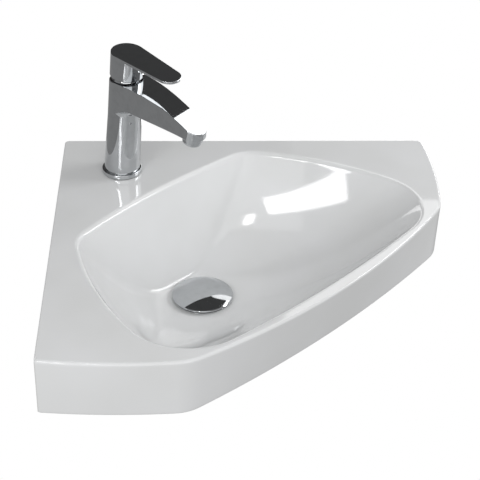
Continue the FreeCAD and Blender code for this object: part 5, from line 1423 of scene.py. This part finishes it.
@dataclass(frozen=True)
class Fittings:
    """Small fittings whose construction already carries every detail: only finished here."""

    # Near-black brass for the cartridge nut: painted shade that stands in for the deep shadow in the reveal
    # under the dome ring.
    nut_painted_shade: BareMetal = BareMetal("brass_nut_painted_shade", "#3A342A", "#2A251D", 0.4, 0.55)
    parts: dict[Slot, str] = field(default_factory=lambda: {
        Slot.CHROME: "body_plug_screw",
        Slot.RUBBER: "tap_base_gasket rubber_horseshoe cartridge_seals aerator_seal flange_seal "
                     "hole_cone_seal cap_seal",
        Slot.STEEL: "steel_horseshoe fixing_stud lever_pin handle_grub_screw",
        Slot.BRASS: "stud_nut lever_stem cartridge_nut click_cartridge waste_spindle",
        Slot.GREY: "cartridge_base cartridge_turret",
        Slot.WHITE: "disc_carrier cartridge_housing aerator_insert slip_washer",
        Slot.DISC: "fixed_disc moving_disc",
        Slot.INDEX: "index_plug",
    })
    movers: dict[str, str] = field(default_factory=lambda: {
        "cap_seal": "waste_plug", "waste_spindle": "waste_plug", "lever_pin": "mixing_turret",
        "cartridge_turret": "mixing_turret", "handle_grub_screw": "lever", "lever_stem": "lever",
        "index_plug": "lever", "disc_carrier": "disc_slider", "moving_disc": "disc_slider",
    })

    def build(self, palette: Palette) -> None:
        """Carries every part over and gives it its finish."""
        for slot, nodes in self.parts.items():
            for node in nodes.split():
                palette.dress(carried_over(node), slot, self.movers.get(node, "basin_set"))
        # The cartridge nut gets the near-black finish: painted shade for the dark reveal under the dome
        # ring.
        steel, painted_shade_finish = palette.get(Slot.STEEL), self.nut_painted_shade.material()
        for name, finish in (("waste_spring", steel), ("cartridge_nut_finished", painted_shade_finish)):
            materials = bpy.data.objects[name].data.materials
            materials.clear()
            materials.append(finish)


# --- Studio ---


@dataclass(frozen=True)
class Lamp:
    """A rectangular soft lamp; sizes in millimetres, power in watts, turn in degrees."""

    name: str
    place: Triple
    aim: Triple
    size: Pair
    power: float
    turn: float = 0.0

    def build(self) -> None:
        """Stands the lamp up, turned about its own axis."""
        data = bpy.data.lights.new(self.name, "AREA")
        data.shape = "RECTANGLE"
        data.size, data.size_y, data.energy = self.size[0] * MM, self.size[1] * MM, self.power
        lamp = bpy.data.objects.new(self.name, data)
        bpy.context.scene.collection.objects.link(lamp)
        facing = (Vector(self.aim) - Vector(self.place)).to_track_quat("-Z", "Y").to_matrix()
        lamp.rotation_euler = (facing @ Matrix.Rotation(math.radians(self.turn), 3, "Z")).to_euler()
        lamp.location = Vector(self.place) * MM


def upright_card(across: Pair, up: Pair, y: float) -> list[Triple]:
    """Corners of a card that stands parallel to the back wall, from its spans in x and z."""
    (left, right), (low, high) = across, up
    return [(left, y, low), (right, y, low), (right, y, high), (left, y, high)]


def oval_card(middle: Triple, radii: Pair, count: int = 32) -> list[Triple]:
    """Corners of a standing oval card."""
    turns = np.arange(count) / count * TURN
    x, y, z = middle
    return [(x + radii[0] * math.cos(a), y, z + radii[1] * math.sin(a)) for a in turns]


@dataclass
class Studio:
    """White world, lamps, the camera of the picture, and a grey room and cards for mirrors.

    Each card has its name, its corners in millimetres and how bright it looks, 1 for white.
    """

    place: Triple = (160.6, -1606.9, 902.6)
    lens: float = 110.96
    sensor: float = 36.0
    clip: Pair = (0.05, 60.0)
    pitch: float = 33.160
    yaw: float = -2.067
    roll: float = 0.935
    ambient: float = 0.41
    room: float = 0.28
    lamps: tuple[Lamp, ...] = (
        Lamp("softbox_left", (-450.0, -1130.0, 640.0), (260.0, -200.0, -60.0), (560.0, 150.0), 3.0, 32.8),
        Lamp("softbox_right", (1500.0, 100.0, 720.0), (120.0, -150.0, -110.0), (700.0, 420.0), 8.0),
        Lamp("front_wall", (300.0, -2700.0, 1200.0), (230.0, -200.0, -20.0), (3400.0, 2400.0), 29.0),
    )
    cards: tuple[tuple[str, list[Triple], float], ...] = (
        ("dark_card", upright_card((-1500.0, 292.0), (60.0, 1300.0), 150.0), 0.065),
        ("white_card", upright_card((292.0, 900.0), (180.0, 1000.0), 150.0), 2.5),
        ("cap_card", oval_card((275.0, 140.0, 152.0), (66.0, 38.0)), 1.5),
        ("low_card", upright_card((100.0, 900.0), (-60.0, 55.0), 145.0), 3.0),
        ("small_card", [(-52.0, -1108.0, 975.0), (-90.0, -1195.0, 870.0), (-150.0, -1195.0, 845.0),
                        (-120.0, -1119.0, 942.0)], 16.0),
    )

    def camera(self) -> None:
        """Camera with the pose fitted to the picture."""
        data = bpy.data.cameras.new("camera")
        data.lens, data.sensor_width, data.sensor_fit = self.lens, self.sensor, "HORIZONTAL"
        data.clip_start, data.clip_end = self.clip
        pitch, yaw, roll = (math.radians(a) for a in (self.pitch, self.yaw, self.roll))
        turn = Matrix.Rotation(yaw, 3, "Z")
        ahead = turn @ Vector((0.0, math.cos(pitch), -math.sin(pitch)))
        up = turn @ Vector((0.0, math.sin(pitch), math.cos(pitch)))
        right = turn @ Vector((1.0, 0.0, 0.0))
        side = right * math.cos(roll) + up * math.sin(roll)
        over = up * math.cos(roll) - right * math.sin(roll)
        camera = bpy.data.objects.new("camera", data)
        bpy.context.scene.collection.objects.link(camera)
        matrix = Matrix((side, over, -ahead)).transposed().to_4x4()
        matrix.translation = Vector(self.place) * MM
        camera.matrix_world = matrix
        bpy.context.scene.camera = camera

    def world(self) -> None:
        """White to the camera and dimmer as a lamp; mirrors see the grey room in front of it."""
        world = bpy.data.worlds.new("studio")
        bpy.context.scene.world = world
        world.use_nodes = True
        tree = world.node_tree
        tree.nodes.clear()
        kinds = ("LightPath", "MapRange", "Background", "OutputWorld")
        path, strength, background, output = (tree.nodes.new("ShaderNode" + kind) for kind in kinds)
        seen = path.outputs["Is Camera Ray"]
        for ray in ("Is Glossy Ray", "Is Transmission Ray"):
            either = tree.nodes.new("ShaderNodeMath")
            either.operation = "ADD"
            either.use_clamp = True
            tree.links.new(seen, either.inputs[0])
            tree.links.new(path.outputs[ray], either.inputs[1])
            seen = either.outputs["Value"]
        strength.inputs["To Min"].default_value = self.ambient
        strength.inputs["To Max"].default_value = 1.0
        background.inputs["Color"].default_value = tint("#FFFFFF")
        tree.links.new(seen, strength.inputs["Value"])
        tree.links.new(strength.outputs["Result"], background.inputs["Strength"])
        tree.links.new(background.outputs[0], output.inputs["Surface"])

    def cloth(self, name: str, glow: float) -> Material:
        """A black surface that glows evenly."""
        black, white = tint("#000000"), tint("#FFFFFF")
        plain = {"Roughness": 1.0, "Specular_IOR_Level": 0.0, "Base_Color": black}
        return Shader(name, **plain, Emission_Color=white, Emission_Strength=glow).material

    def card(self, name: str, corners: list[Triple], glow: float) -> None:
        """A flat card that only mirrors see."""
        mesh = bpy.data.meshes.new(name)
        mesh.from_pydata((np.array(corners) * MM).tolist(), [], [tuple(range(len(corners)))])
        mesh.materials.append(self.cloth(name + "_cloth", glow))
        self.stand(bpy.data.objects.new(name, mesh))

    def surround(self, reach: float = 6000.0, sides: int = 48, levels: int = 25) -> None:
        """Grey room that only mirrors see: a sphere of rings far around the basin."""
        turn = np.arange(sides) / sides * TURN
        rise = np.linspace(-math.pi / 2.0, math.pi / 2.0, levels)[1:-1, None]
        flat = (np.cos(turn) * np.cos(rise), np.sin(turn) * np.cos(rise), np.sin(rise) * np.ones(sides))
        room = skin("grey_room", np.stack(flat, -1) * reach, (-UP * reach, UP * reach))
        room.data.materials.append(self.cloth("grey_room_wall", self.room))
        bpy.context.scene.collection.objects.unlink(room)
        self.stand(room)

    def stand(self, thing: Thing) -> None:
        """Puts a stage object up for mirrors alone."""
        bpy.context.scene.collection.objects.link(thing)
        thing.visible_camera = False
        thing.visible_diffuse = False
        thing.visible_shadow = False
        thing.visible_transmission = False

    def build(self) -> None:
        """Sets up everything around the basin."""
        bpy.context.scene.view_settings.view_transform = "Standard"
        self.camera()
        self.world()
        self.surround()
        for lamp in self.lamps:
            lamp.build()
        for card in self.cards:
            self.card(*card)


def main() -> None:
    """Builds the whole scene."""
    logging.basicConfig(level=logging.INFO, format="%(name)s: %(message)s")
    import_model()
    palette = Palette()
    ware = Ware()
    ware.dress(ware.build(), palette, GroundBisque().material())
    Mixer().build(palette)
    Waste().build(palette)
    Fittings().build(palette)
    Studio().build()


if __name__ == "__main__":
    main()
